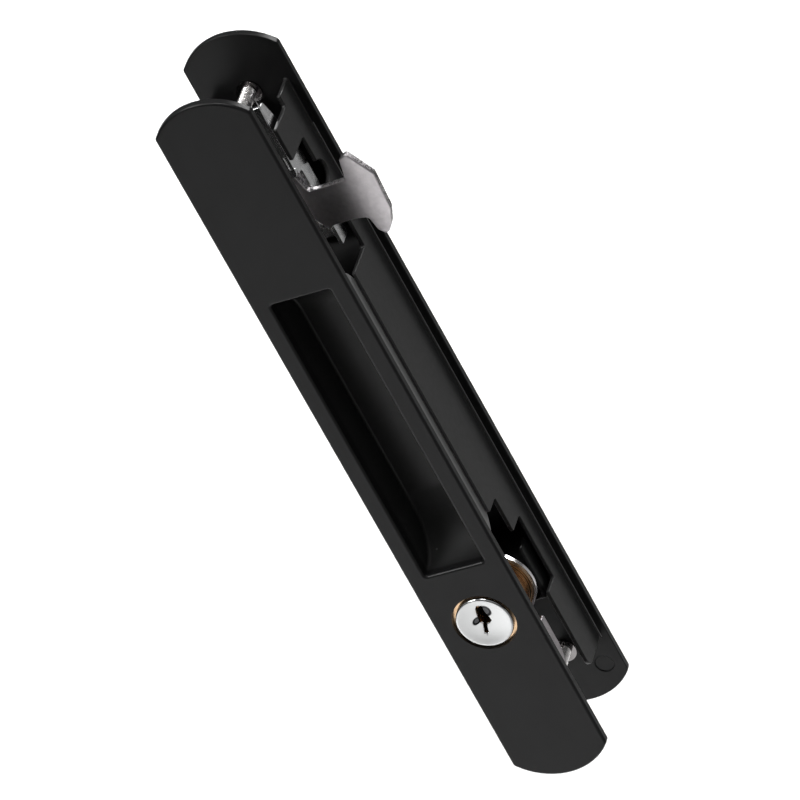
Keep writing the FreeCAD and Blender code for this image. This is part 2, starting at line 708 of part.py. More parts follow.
def hook_pivot_pin():
    return turned_y([
        (0, COVER_Y - PIVOT_HEAD_T),
        (PIVOT_HEAD_R, COVER_Y - PIVOT_HEAD_T),
        (PIVOT_HEAD_R, COVER_Y),
        (PIVOT_R, COVER_Y),
        (PIVOT_R, HOOK_BACK + SIDE_GAP),
        (PIVOT_COLLAR_R, HOOK_BACK + SIDE_GAP),
        (PIVOT_COLLAR_R, CASE_WEB),
        (PIVOT_R, CASE_WEB),
        (PIVOT_R, CASE_BACK),
        (PIVOT_HEAD_R, CASE_BACK),
        (PIVOT_HEAD_R, CASE_BACK + PIVOT_HEAD_T),
        (0, CASE_BACK + PIVOT_HEAD_T),
    ], 0, PIVOT_Z)


def drive_pin():
    head = rod(TAIL_X, TAIL_Z, DRIVE_PIN_R + 0.6, HOOK_BACK, HOOK_BACK + SIDE_GAP)
    return fused([rod(TAIL_X, TAIL_Z, DRIVE_PIN_R, HOOK_Y, BAR_BACK + SIDE_GAP), head])


def lock_case():
    """A folded channel: web at the back, a deep right wall, and a left wall cut low for the lever."""
    w = CASE_HALF_W
    t = SHEET_T
    channel = prism_z([
        (-w, COVER_BACK, 0),
        (-w, CASE_BACK, CASE_BEND_R),
        (w, CASE_BACK, CASE_BEND_R),
        (w, COVER_BACK, 0),
        (w - t, COVER_BACK, 0),
        (w - t, CASE_WEB, CASE_BEND_R - t),
        (t - w, CASE_WEB, CASE_BEND_R - t),
        (t - w, COVER_BACK, 0),
    ], CASE_LOW, CASE_HIGH)
    side = prism_x([
        (HOOK_BACK + SIDE_GAP * 2, CASE_LOW - 1, 0),
        (HOOK_BACK + SIDE_GAP * 2, ARM_TOP + ARM_ROOM, 1.0),
        (COVER_BACK - 1, ARM_TOP + ARM_ROOM, 0),
        (COVER_BACK - 1, CASE_LOW - 1, 0),
    ], 0, w + 1)
    lever_room = box(-w - 1, 0, COVER_BACK - 1, BAR_BACK + GUIDE_GAP * 3, CASE_LOW - 1, CASE_HIGH + 1)
    corner = prism_x([
        (CASE_BACK + 1, CASE_HIGH + 1, 0),
        (CASE_BACK + 1, CASE_HIGH - CASE_CORNER_R, 0),
        (CASE_BACK - CASE_CORNER_R, CASE_HIGH + 1, 0),
    ], w - t - 0.5, w + 1)
    tab = box(w - t, w, COVER_Y, COVER_BACK + 1, TAB_LOW, TAB_HIGH)
    case = channel.cut(Part.makeCompound([side, lever_room, corner]))
    case = fused([case, tab])
    cuts = [rod(0, PIVOT_Z, PIVOT_R + THREAD_GAP, CASE_WEB - 1, CASE_BACK + 1)]
    for z in CASE_SCREW_ZS:
        cuts.append(rod(CASE_SCREW_X, z, CASE_SCREW_R + HOLE_GAP, CASE_WEB - 1, CASE_BACK + 1))
    return case.cut(Part.makeCompound(cuts))


def lock_case_cover():
    """Front plate over the pivot, with a lug folded back beside the upper screw."""
    w = CASE_HALF_W
    t = SHEET_T
    front = prism_y([
        (-w, COVER_LOW, 1.5),
        (w, COVER_LOW, 1.5),
        (w, COVER_HIGH, 1.0),
        (-w, COVER_HIGH, 4.0),
    ], COVER_Y, COVER_BACK)
    lug = prism_x([
        (COVER_Y, CASE_HIGH + 0.3, 0),
        (COVER_Y, COVER_HIGH, 1.0),
        (LUG_TOP_Y, COVER_HIGH, 1.5),
        (LUG_LOW_Y, CASE_HIGH + 1.5, 0.5),
        (LUG_LOW_Y, CASE_HIGH + 0.3, 0),
    ], w - t, w)
    cover = fused([front, lug])
    cuts = [
        rod(0, PIVOT_Z, PIVOT_R + THREAD_GAP, COVER_Y - 1, COVER_BACK + 1),
        rod(0, SCREW_ZS[0], SCREW_R + HOLE_GAP, COVER_Y - 1, COVER_BACK + 1),
        box(w - t - RUN_GAP, w + 1, COVER_Y - 1, COVER_BACK + 0.01, TAB_LOW - RUN_GAP, TAB_HIGH + RUN_GAP),
    ]
    return cover.cut(Part.makeCompound(cuts))


def pan_screw(x, z, head_y, r, head_r, head_t, tip_y):
    """A pan head screw with its head in front, at head_y, and its tip further into the door."""
    body = fused([
        turned_y([
            (0, head_y),
            (head_r - head_t * 0.6, head_y),
            (head_r, head_y + head_t * 0.6),
            (head_r, head_y + head_t),
            (0, head_y + head_t),
        ], x, z),
        rod(x, z, r, head_y + head_t, tip_y),
    ])
    return body.cut(cross_recess(x, z, head_y, 1, head_r * 0.55))


def case_screws():
    screws = []
    for z in CASE_SCREW_ZS:
        screws.append(pan_screw(CASE_SCREW_X, z, CASE_WEB - CASE_SCREW_HEAD_T, CASE_SCREW_R,
                                CASE_SCREW_HEAD_R, CASE_SCREW_HEAD_T, INNER_SEAT - 2))
    return Part.makeCompound(screws)


def drive_bar():
    """A flat bar with a cross slot for the hook's pin at the top and a fork for the cam's pin below."""
    half = BAR_W / 2
    head_half = BAR_HEAD_W / 2
    head_high = TAIL_Z + BAR_HEAD_LEN * 0.4
    head_low = head_high - BAR_HEAD_LEN
    fork_half = CRANK_PIN_R + FORK_GAP + FORK_LIP
    fork_end = -SPINDLE_R - 0.4
    blank = prism_y([
        (BAR_X - head_half, head_high, 1.0),
        (BAR_X - head_half, head_low, 1.0),
        (BAR_X - half, head_low - 2, 1.0),
        (BAR_X - half, CRANK_Z - fork_half, 1.0),
        (fork_end, CRANK_Z - fork_half, 0.6),
        (fork_end, CRANK_Z + fork_half, 0.6),
        (BAR_X + half, CRANK_Z + fork_half, 1.0),
        (BAR_X + half, head_low - 2, 1.0),
        (BAR_X + head_half, head_low, 1.0),
        (BAR_X + head_half, head_high, 1.0),
    ], BAR_Y, BAR_BACK)
    pin_reach = TAIL_R + DRIVE_PIN_R + BAR_SLOT_GAP
    slot_half = DRIVE_PIN_R + BAR_SLOT_GAP
    slot = prism_y([
        (-pin_reach, TAIL_Z - slot_half, 1.2),
        (TAIL_X + slot_half, TAIL_Z - slot_half, 1.2),
        (TAIL_X + slot_half, TAIL_Z + slot_half, 1.2),
        (-pin_reach, TAIL_Z + slot_half, 1.2),
    ], BAR_Y - 1, BAR_BACK + 1)
    mouth_half = CRANK_PIN_R + FORK_GAP
    fork_floor = -CRANK_R - CRANK_PIN_R - FORK_GAP
    mouth = box(fork_floor, 0, BAR_Y - 1, BAR_BACK + 1, CRANK_Z - mouth_half, CRANK_Z + mouth_half)
    return blank.cut(Part.makeCompound([slot, mouth]))


def cylinder_body():
    body = fused([
        rod(0, CYL_Z, CYL_R, CYL_FRONT, CYL_FLANGE_BACK),
        rod(0, CYL_Z, CYL_FLANGE_R, CYL_FLANGE_Y, CYL_FLANGE_BACK),
    ])
    cuts = [
        rod(0, CYL_Z, HEAD_POCKET_R, CYL_FRONT - 1, HEAD_BACK + SIDE_GAP),
        rod(0, CYL_Z, PLUG_R + RUN_GAP, HEAD_BACK, CYL_FLANGE_BACK + 1),
        tube(0, CYL_Z, CYL_R + 0.6, CYL_R + 0.2, CYL_FLANGE_Y - 1, CYL_FLANGE_Y + 0.3),
    ]
    cuts += on_pin_axes(rod_up(PIN_R + RUN_GAP, KEY_PIN_LOW, PIN_BORE_END))
    for side in (1, -1):
        inner = side * (FORK_HALF_W - RUN_GAP)
        outer = side * (CYL_R + 1)
        cuts.append(box(min(inner, outer), max(inner, outer), -RUN_GAP, BRACKET_T + RUN_GAP,
                        CYL_Z - CYL_R, CYL_Z + CYL_R))
    return body.cut(Part.makeCompound(cuts))


def keyway(y0, y1, high):
    """The key's slot: wide and zigzag at the back of the blade, narrow along its cut edge."""
    slot = prism_y([
        (-1.4, high, 0),
        (0.6, high, 0),
        (0.7, 4.6, 0),
        (1.5, 3.2, 0),
        (2.5, 0.8, 0),
        (1.7, -0.2, 0),
        (0.65, -0.6, 0),
        (0.5, -4.4, 0),
        (-0.9, -4.4, 0),
        (-0.6, -0.1, 0),
        (-1.6, -0.1, 0),
        (-1.9, 1.8, 0),
        (-2.0, 4.0, 0),
        (-1.9, high - 1.2, 0),
    ], y0, y1)
    slot.rotate(Vector(0, 0, 0), Vector(0, 1, 0), KEYWAY_TILT)
    slot.translate(Vector(0, 0, CYL_Z))
    return slot


def on_pin_axes(piece):
    """Copies of an upright piece, one on each pin axis. Its heights count from the plug's axis."""
    copies = []
    for y in PIN_YS:
        copy = piece.copy()
        copy.translate(Vector(0, y, 0))
        copy.rotate(Vector(0, 0, 0), Vector(0, 1, 0), KEYWAY_TILT)
        copy.translate(Vector(0, 0, CYL_Z))
        copies.append(copy)
    return copies


def key_plug():
    cap_back = CAP_FRONT + CAP_DISH + CAP_T
    shank = fused([
        rod(0, CYL_Z, CAP_R - CAP_T, cap_back, HEAD_BACK),
        rod(0, CYL_Z, CAP_R, CAP_SKIRT_BACK, HEAD_BACK),
        rod(0, CYL_Z, PLUG_R, HEAD_BACK, PLUG_END),
    ])
    cuts = [
        tube(0, CYL_Z, PLUG_R + 1, PLUG_GROOVE_R, CYL_FLANGE_BACK + RUN_GAP,
             CYL_FLANGE_BACK + 3 * RUN_GAP + CLIP_T),
        keyway(CAP_FRONT - 1, HEAD_BACK, KEYWAY_MOUTH_HIGH),
        keyway(HEAD_BACK - 0.5, KEYWAY_END, KEYWAY_HIGH),
    ]
    cuts += on_pin_axes(rod_up(PIN_R + RUN_GAP, KEY_PIN_LOW, PLUG_R + 1))
    shank = shank.cut(Part.makeCompound(cuts))
    half_w = TANG_W / 2
    half_t = TANG_T / 2
    tang = box(-half_t, half_t, PLUG_END - 0.5, CAM_Y + CAM_POCKET - SIDE_GAP / 2, CYL_Z - half_w, CYL_Z + half_w)
    return fused([shank, tang])


def key_pins():
    """The pins that ride on the key, in the plug. They stand as the right key holds them."""
    point = PIN_R - PIN_TIP_R
    tip = Part.makeCone(PIN_TIP_R, PIN_R, point, Vector(0, 0, KEY_PIN_LOW))
    pin = fused([tip, rod_up(PIN_R, KEY_PIN_LOW + point, SHEAR_LINE)])
    return Part.makeCompound(on_pin_axes(pin))


def driver_pins():
    return Part.makeCompound(on_pin_axes(rod_up(PIN_R, DRIVER_LOW, DRIVER_LOW + DRIVER_LEN)))


def pin_springs():
    """The springs behind the driver pins, as sleeves as wide as their coils."""
    low = DRIVER_LOW + DRIVER_LEN
    spring = rod_up(SPRING_R, low, PIN_BORE_END).cut(rod_up(SPRING_R - SPRING_WIRE, low - 1, PIN_BORE_END + 1))
    return Part.makeCompound(on_pin_axes(spring))


def plug_face_cap():
    """A thin polished cap pressed over the plug's head, hollowed a little towards the keyway."""
    rim_r = CAP_R - 0.9
    dish_r = (rim_r ** 2 + CAP_DISH ** 2) / (2 * CAP_DISH)
    cap_back = CAP_FRONT + CAP_DISH + CAP_T
    cap = turned_y([
        (0, CAP_FRONT),
        (CAP_R - 0.5, CAP_FRONT),
        (CAP_R - 0.15, CAP_FRONT + 0.15),
        (CAP_R, CAP_FRONT + 0.5),
        (CAP_R, CAP_SKIRT_BACK),
        (CAP_R - CAP_T, CAP_SKIRT_BACK),
        (CAP_R - CAP_T, cap_back),
        (0, cap_back),
    ], 0, CYL_Z)
    dish = Part.makeSphere(dish_r, Vector(0, CAP_FRONT + CAP_DISH - dish_r, CYL_Z))
    return cap.cut(Part.makeCompound([dish, keyway(CAP_FRONT - 1, cap_back + 1, KEYWAY_MOUTH_HIGH)]))


def plug_clip():
    front = CYL_FLANGE_BACK + 2 * RUN_GAP
    clip = tube(0, CYL_Z, RING_LIP_R - SIDE_GAP, PLUG_GROOVE_R + RUN_GAP, front, front + CLIP_T)
    gap = box(-2.5, 2.5, front - 1, front + CLIP_T + 1, CYL_Z - RING_LIP_R - 1, CYL_Z)
    return clip.cut(gap)


def cylinder_ring():
    wall = tube(0, CYL_Z, RING_R, CYL_FLANGE_R + RUN_GAP, RING_FRONT, RING_BACK)
    lip = tube(0, CYL_Z, RING_R, RING_LIP_R, CYL_FLANGE_BACK + EPS, RING_BACK)
    ring = fused([wall, lip])
    outer = [edge for edge in edges_at_y(ring, RING_BACK) if edge.Curve.Radius > CYL_FLANGE_R]
    return ring.makeFillet(0.3, outer)


def cylinder_bracket():
    """A small channel that forks round the cylinder and slips over the lower screw post."""
    w = BRACKET_HALF_W
    web = prism_y([
        (-w, BRACKET_HIGH, 1.5),
        (-w, BRACKET_LOW, 6.0),
        (w, BRACKET_LOW, 6.0),
        (w, BRACKET_HIGH, 1.5),
    ], EPS, BRACKET_T)
    flange = prism_x([
        (EPS, FLANGE_HIGH, 0),
        (EPS, FLANGE_LOW, 0),
        (BRACKET_T, FLANGE_LOW, 0),
        (FLANGE_DEPTH, FLANGE_LOW, 9.0),
        (FLANGE_DEPTH, FLANGE_HIGH, 1.0),
    ], w - BRACKET_T, w)
    bracket = fused([web] + both_sides(flange))
    floor = CYL_Z - CYL_R - 0.3
    cuts = [
        box(-FORK_HALF_W, FORK_HALF_W, -1, BRACKET_T + 1, floor, BRACKET_HIGH + 1),
        rod(0, SCREW_ZS[1], POST_R + RUN_GAP, -1, BRACKET_T + 1),
    ]
    for side in (1, -1):
        cuts.append(rod(side * STUB_X, STUB_Z, STUB_R + THREAD_GAP, -1, BRACKET_T + 1))
    return bracket.cut(Part.makeCompound(cuts))


def cam():
    """Cam disc with a bow-tie pocket for the plug's tang, a crank pin, and the spindle of the turn."""
    end = INNER_FACE + TURN_BASE_T + TURN_GRIP_H / 2
    square_start = INNER_SEAT - TURN_HUB_LEN - 1
    half = SQUARE / 2
    body = fused([
        rod(0, CYL_Z, CAM_R, CAM_Y, CAM_BACK),
        rod(CRANK_X, CRANK_Z, CRANK_PIN_R, CAM_BACK - 0.5, BAR_BACK),
        rod(0, CYL_Z, SPINDLE_R, CAM_BACK - 0.5, square_start),
        box(-half, half, square_start - 0.5, end, CYL_Z - half, CYL_Z + half).common(
            rod(0, CYL_Z, SPINDLE_R, square_start - 1, end + 1)),
    ])
    pocket_r = TANG_W / 2 + SIDE_GAP
    start = math.radians(90) - math.asin((TANG_T / 2 + RUN_GAP) / pocket_r)
    far = pocket_r * 2
    sector = []
    for angle in (start, start - math.radians(KEY_TURN) + 2 * (math.radians(90) - start)):
        sector.append((far * math.cos(angle), far * math.sin(angle), 0))
    wedge = prism_y([(0, 0, 0), sector[0], (far, far, 0), sector[1]], CAM_Y - 1, CAM_Y + CAM_POCKET)
    opposite = wedge.copy()
    opposite.rotate(Vector(0, 0, 0), Vector(0, 1, 0), 180)
    half_t = TANG_T / 2 + RUN_GAP
    slot = box(-half_t, half_t, CAM_Y - 1, CAM_Y + CAM_POCKET, -pocket_r, pocket_r)
    pocket = fused([wedge, opposite, slot]).common(rod(0, 0, pocket_r, CAM_Y - 1, CAM_Y + CAM_POCKET))
    pocket.translate(Vector(0, 0, CYL_Z))
    return body.cut(pocket)


def turn_housing():
    """The block behind the cylinder: it carries the spindle and stands on the inside plate."""
    high = CYL_Z + HOUSING_ABOVE_CYL
    low = CYL_Z - HOUSING_BELOW_CYL
    along = Vector(0, 1, 0)
    slab = box(-HOUSING_HALF_W, HOUSING_HALF_W, HOUSING_Y, HOUSING_BACK, low, high)
    slab = slab.makeFillet(HOUSING_EDGE_R, straight_edges_along(slab, along) + edges_at_y(slab, HOUSING_Y))
    body = box(-BODY_HALF_W, BODY_HALF_W, HOUSING_BACK - 1, INNER_SEAT, low, high)
    body = body.makeFillet(HOUSING_EDGE_R, straight_edges_along(body, along))
    cuts = [
        rod(0, CYL_Z, BUSH_R + RUN_GAP, HOUSING_Y - 1, HOUSING_BACK + 1),
        rod(0, CYL_Z, BODY_ROOM_R, HOUSING_BACK, INNER_SEAT + 1),
    ]
    for side in (1, -1):
        x = side * HOUSING_SCREW_X
        z = HOUSING_SCREW_Z
        cuts.append(rod(x, z, HOUSING_SCREW_HEAD_R + HOLE_GAP, HOUSING_Y - 1, HOUSING_SCREW_SEAT))
        cuts.append(rod(x, z, HOUSING_SCREW_R + HOLE_GAP, HOUSING_Y, INNER_SEAT))
        cuts.append(rod(x, z, HOUSING_BOSS_R + RUN_GAP, HOUSING_BOSS_END - SIDE_GAP, INNER_SEAT + 1))
    return fused([slab, body]).cut(Part.makeCompound(cuts))


def housing_screws():
    screws = []
    for side in (1, -1):
        head_y = HOUSING_SCREW_SEAT - HOUSING_SCREW_HEAD_T
        screws.append(pan_screw(side * HOUSING_SCREW_X, HOUSING_SCREW_Z, head_y, HOUSING_SCREW_R,
                                HOUSING_SCREW_HEAD_R, HOUSING_SCREW_HEAD_T, INNER_SEAT - 1))
    return Part.makeCompound(screws)


def turn_bush():
    return fused([
        tube(0, CYL_Z, BUSH_R, SPINDLE_R + RUN_GAP, HOUSING_Y, HOUSING_BACK + BUSH_FLANGE_T),
        tube(0, CYL_Z, BUSH_FLANGE_R, SPINDLE_R + RUN_GAP, HOUSING_BACK, HOUSING_BACK + BUSH_FLANGE_T),
    ])


def inside_turn():
    """The thumb turn: hub through the plate, round base, and a waisted grip."""
    hub_end = INNER_SEAT - TURN_HUB_LEN
    base_y = INNER_FACE + SIDE_GAP
    grip_y = base_y + TURN_BASE_T
    base = rod(0, CYL_Z, TURN_BASE_R, base_y, grip_y)
    base = base.makeFillet(0.8, edges_at_y(base, grip_y))
    half_l = TURN_GRIP_L / 2
    half_w = TURN_GRIP_W / 2
    grip = prism_y([
        (-half_w, CYL_Z - half_l, 2.4),
        (half_w, CYL_Z - half_l, 2.4),
        (half_w * 0.8, CYL_Z, 30.0),
        (half_w, CYL_Z + half_l, 2.4),
        (-half_w, CYL_Z + half_l, 2.4),
        (-half_w * 0.8, CYL_Z, 30.0),
    ], grip_y - 0.5, grip_y + TURN_GRIP_H)
    grip = grip.makeFillet(0.8, edges_at_y(grip, grip_y + TURN_GRIP_H))
    knob = fused([rod(0, CYL_Z, TURN_HUB_R, hub_end, base_y + 1), base, grip])
    half = SQUARE / 2 + SQUARE_GAP
    socket_end = INNER_FACE + TURN_BASE_T + TURN_GRIP_H / 2 + 0.5
    socket = box(-half, half, hub_end - 1, socket_end, CYL_Z - half, CYL_Z + half)
    clip_y = INNER_SEAT - WASHER_T - TURN_CLIP_T - 3 * RUN_GAP
    groove = tube(0, CYL_Z, TURN_HUB_R + 1, TURN_GROOVE_R, clip_y - RUN_GAP, clip_y + TURN_CLIP_T + RUN_GAP)
    return knob.cut(Part.makeCompound([socket, groove]))


def turn_clip():
    front = INNER_SEAT - WASHER_T - TURN_CLIP_T - 3 * RUN_GAP
    clip = tube(0, CYL_Z, TURN_CLIP_R, TURN_GROOVE_R + RUN_GAP, front, front + TURN_CLIP_T)
    gap = box(-3.5, 3.5, front - 1, front + TURN_CLIP_T + 1, CYL_Z, CYL_Z + TURN_CLIP_R + 1)
    return clip.cut(gap)


def turn_washer():
    back = INNER_SEAT - RUN_GAP
    return tube(0, CYL_Z, WASHER_R, TURN_HUB_R + RUN_GAP, back - WASHER_T, back)


NODES = {
    "outside_plate": outside_plate,
    "inside_plate": inside_plate,
    "fixing_screws": fixing_screws,
    "screw_collars": screw_collars,
    "hook": hook,
    "hook_pivot_pin": hook_pivot_pin,
    "drive_pin": drive_pin,
    "lock_case": lock_case,
    "lock_case_cover": lock_case_cover,
    "case_screws": case_screws,
    "drive_bar": drive_bar,
    "cylinder_body": cylinder_body,
    "key_plug": key_plug,
    "plug_face_cap": plug_face_cap,
    "key_pins": key_pins,
    "driver_pins": driver_pins,
    "pin_springs": pin_springs,
    "plug_clip": plug_clip,
    "cylinder_ring": cylinder_ring,
    "cylinder_bracket": cylinder_bracket,
    "cam": cam,
    "turn_housing": turn_housing,
    "housing_screws": housing_screws,
    "turn_bush": turn_bush,
    "inside_turn": inside_turn,
    "turn_clip": turn_clip,
    "turn_washer": turn_washer,
}

os.makedirs("parts", exist_ok=True)
for name, make in NODES.items():
    shape = make()
    shape.exportStep(os.path.join("parts", name + ".step"))
    print(name, len(shape.Solids), "solids", round(shape.Volume, 1), "mm3", shape.isValid())
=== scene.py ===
import json
import math

import bmesh
import bpy
from mathutils import Matrix, Vector


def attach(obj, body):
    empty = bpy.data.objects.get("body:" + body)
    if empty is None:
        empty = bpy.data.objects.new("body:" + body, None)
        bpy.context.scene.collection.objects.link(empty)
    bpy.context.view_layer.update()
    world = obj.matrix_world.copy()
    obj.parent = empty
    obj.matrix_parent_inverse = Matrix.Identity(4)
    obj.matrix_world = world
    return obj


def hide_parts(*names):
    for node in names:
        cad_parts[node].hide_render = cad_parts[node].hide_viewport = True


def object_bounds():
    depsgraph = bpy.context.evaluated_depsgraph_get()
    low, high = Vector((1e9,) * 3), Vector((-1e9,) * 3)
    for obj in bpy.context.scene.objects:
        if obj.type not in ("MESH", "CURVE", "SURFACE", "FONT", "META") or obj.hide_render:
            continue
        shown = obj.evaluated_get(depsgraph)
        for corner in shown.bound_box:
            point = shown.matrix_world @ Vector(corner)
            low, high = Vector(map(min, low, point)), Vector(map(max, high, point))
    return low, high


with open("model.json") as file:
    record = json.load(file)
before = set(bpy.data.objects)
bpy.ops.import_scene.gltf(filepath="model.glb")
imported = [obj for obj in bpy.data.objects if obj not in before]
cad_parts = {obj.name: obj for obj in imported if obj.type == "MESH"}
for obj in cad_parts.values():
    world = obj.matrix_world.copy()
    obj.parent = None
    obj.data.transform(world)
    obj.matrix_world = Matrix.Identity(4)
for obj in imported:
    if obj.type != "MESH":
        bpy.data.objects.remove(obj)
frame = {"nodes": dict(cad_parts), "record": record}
CAD_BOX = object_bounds()

# Sizes are in metres, in the lock's own frame: +X to the hook side, +Y into the door, +Z up.
# Angles are in degrees, colours are linear red, green and blue.
MM = 0.001

# Camera, found by fitting the plates' outlines in the photograph
LOOK_AT = Vector((0.00226, 0.0180, 0.00360))
CAMERA_DISTANCE = 2.55052
CAMERA_AZIMUTH = 28.1895
CAMERA_ELEVATION = 28.0749
CAMERA_ROLL = -29.5073
LENS = 351.147
SENSOR = 36.0
NEAREST = 0.05
FARTHEST = 50.0

# Joining screws, along Y, with their tips behind the outside plate
SCREW_R = 2.5 * MM
SCREW_HIGH = 119.3 * MM
SCREW_LOW = -SCREW_HIGH
SCREW_TIP = 6.0 * MM
SCREW_NECK = 37.0 * MM
NECK_LAP = 0.2 * MM          # how far the head's part reaches over the threaded shank
HEAD_MERGE = 0.001 * MM
THREAD_PITCH = 0.8 * MM
THREAD_DEPTH = 0.45 * MM
THREAD_POINT = 0.6 * MM      # chamfer at the tip
THREAD_ROOT = 0.10           # flat share of the thread's root
THREAD_STEEPNESS = 1.25
THREAD_SIDES = 40
THREAD_ROWS = 340

# Rounding of the stamped, folded and cast pieces
SHARP_ANGLE = 35.0           # an edge that turns more than this is rounded
FLAT_ANGLE = 0.4             # facets that turn less than this are one face
SMOOTH_ANGLE = 40.0
EDGE_MERGE = 0.002 * MM
EDGE_STEPS = 3
HOOK_EDGE = 0.40 * MM
CAP_EDGE = 0.22 * MM
SHEET_EDGE = 0.25 * MM
CAST_EDGE = 0.25 * MM

# Plates, walls and cylinder, where a finish changes from one area to the next
PAN_SIDE = 12.5 * MM         # outer side of the finger pull's pan
WALL_SIDE = 14.35 * MM       # outer side of the inside plate's walls
PULL_RIM = 12.0 * MM         # front rim of those walls beside the pull
DOOR_SIDE = 36.5 * MM        # the inside plate's seat on the door
CYLINDER_Z = -75.0 * MM
CAP_FACE = -2.9 * MM         # dished face of the chrome cap
FLANGE_GROOVE_R = 11.9 * MM  # groove turned into the cylinder's rear flange, a painted dark line of shade
GROOVE_INNER = 0.10 * MM
GROOVE_OUTER = 0.22 * MM
GROOVE_SHADE = 0.25

# Areas of the black castings, each a box on both sides of the lock that fades over the width Soft
PAN_WALL = dict(Middle=(PAN_SIDE, 8.5 * MM, 5.0 * MM), Half_size=(0.35 * MM, 8.3 * MM, 62.0 * MM),
                Soft=0.2 * MM)
PULL_WELL = dict(Middle=(0.0, 9.1 * MM, 4.0 * MM), Half_size=(PAN_SIDE + 0.1 * MM, 8.6 * MM, 62.0 * MM),
                 Soft=0.3 * MM)
CAST_WALL = dict(Middle=(WALL_SIDE, 24.0 * MM, 0.0), Half_size=(1.2 * MM, 12.3 * MM, 130.0 * MM),
                 Soft=0.4 * MM)
WALL_RIM = dict(Middle=(WALL_SIDE - 0.75 * MM, PULL_RIM, 4.0 * MM),
                Half_size=(0.85 * MM, 0.3 * MM, 56.0 * MM), Soft=0.2 * MM)
# a pale line painted along the walls' foot as a highlight
FOOT_HIGHLIGHT_LINE = dict(Middle=(14.8 * MM, DOOR_SIDE, -8.0 * MM), Half_size=(0.16 * MM, 1.0 * MM, 110.0 * MM),
                    Soft=0.12 * MM)
LOWER_SCOOP = dict(Middle=(0.0, 9.5 * MM, -41.0 * MM), Half_size=(PAN_SIDE, 7.0 * MM, 12.0 * MM),
                   Soft=2.0 * MM)
INNER_SCOOP = dict(Middle=(0.0, 28.0 * MM, 53.0 * MM), Half_size=(PAN_SIDE, 8.0 * MM, 14.0 * MM),
                   Soft=2.0 * MM)

# Grey over the coat in each area, in the order in which one area covers the next: the walls' outer sides
# are a paler grey, the greys in the pull's well, on the pan's sides and on the walls' rims are painted
# light in shaded places, and the line at the walls' foot is a painted highlight
COAT_DEEP = (0.0058, 0.0058, 0.0060)
COAT_PALE = (0.0080, 0.0080, 0.0082)
COAT_NIB = (0.06, 0.06, 0.06)
COAT_GREYS_AND_PAINTED_LIGHT = (
    (CAST_WALL, (0.024, 0.024, 0.024)),
    (WALL_RIM, (0.060, 0.060, 0.060)),
    (FOOT_HIGHLIGHT_LINE, (0.17, 0.17, 0.17)),
    (PULL_WELL, (0.017, 0.017, 0.017)),
    (PAN_WALL, (0.20, 0.20, 0.20)),
)
DULL_AREAS = (PAN_WALL, LOWER_SCOOP, INNER_SCOOP)
DULL_ROUGHNESS = 0.60

# Hollows pressed beside the keyway, with painted shade on their floors and slopes: middle from the plug's
# axis, half width, half height and turn
HOLLOW_DEPTH = 0.22 * MM
# painted shade on the hollows' floors and slopes
HOLLOW_FLOOR_SHADE = (0.035, 0.035, 0.038)
HOLLOW_SLOPE_SHADE = (0.015, 0.015, 0.016)
KEY_HOLLOWS = (
    dict(across=-2.4 * MM, up=1.2 * MM, half_width=2.3 * MM, half_height=1.3 * MM, turn=35.0),
    dict(across=2.3 * MM, up=4.3 * MM, half_width=2.3 * MM, half_height=2.8 * MM, turn=20.0),
)

# Patterns: the span that a noise fills, and how much coarser its slow part is
NOISE_LOW = 0.3
NOISE_HIGH = 0.7
NOISE_ROUGHNESS = 0.55
GRAIN_FINE_SHARE = 0.6
GRAIN_BROAD_SHARE = 0.4
DRIFT_PER_METRE = 40.0
LINE_STREAK_SHARE = 0.12
RING_STREAK_SHARE = 0.15
ROLLED_UPWARD = (1.0, 1.0, 0.03)

# Floor and room, white below and behind the lock
FLOOR_DROP = 0.45
FLOOR_HALF = 12.0
FLOOR_WHITES = ((0.90, 0.90, 0.90), (0.92, 0.92, 0.92))
SKY_FADE = {"From Min": 0.15, "From Max": 0.65, "To Min": 0.05, "To Max": 0.36}


def set_input(tree, socket, value):
    """Links a socket to another one, or gives it a plain value."""
    if isinstance(value, bpy.types.NodeSocket):
        tree.links.new(value, socket)
    else:
        socket.default_value = value


def math_node(tree, operation, a, b=None, clamp=False):
    node = tree.nodes.new("ShaderNodeMath")
    node.operation = operation
    node.use_clamp = clamp
    set_input(tree, node.inputs[0], a)
    if b is not None:
        set_input(tree, node.inputs[1], b)
    return node.outputs[0]


def vector_node(tree, operation, a, b=None):
    node = tree.nodes.new("ShaderNodeVectorMath")
    node.operation = operation
    set_input(tree, node.inputs[0], a)
    if b is not None:
        set_input(tree, node.inputs[1], b)
    return node.outputs["Value" if operation == "LENGTH" else "Vector"]


def axes_of(tree, vector):
    node = tree.nodes.new("ShaderNodeSeparateXYZ")
    tree.links.new(vector, node.inputs[0])
    return node.outputs


def vector_from(tree, **axes):
    """A vector from its axes. An axis that isn't given is zero."""
    node = tree.nodes.new("ShaderNodeCombineXYZ")
    for axis, source in axes.items():
        tree.links.new(source, node.inputs[axis])
    return node.outputs[0]


def noise_node(tree, vector, scale, detail):
    node = tree.nodes.new("ShaderNodeTexNoise")
    tree.links.new(vector, node.inputs["Vector"])
    set_input(tree, node.inputs["Scale"], scale)
    node.inputs["Detail"].default_value = detail
    node.inputs["Roughness"].default_value = NOISE_ROUGHNESS
    return node.outputs["Fac"]


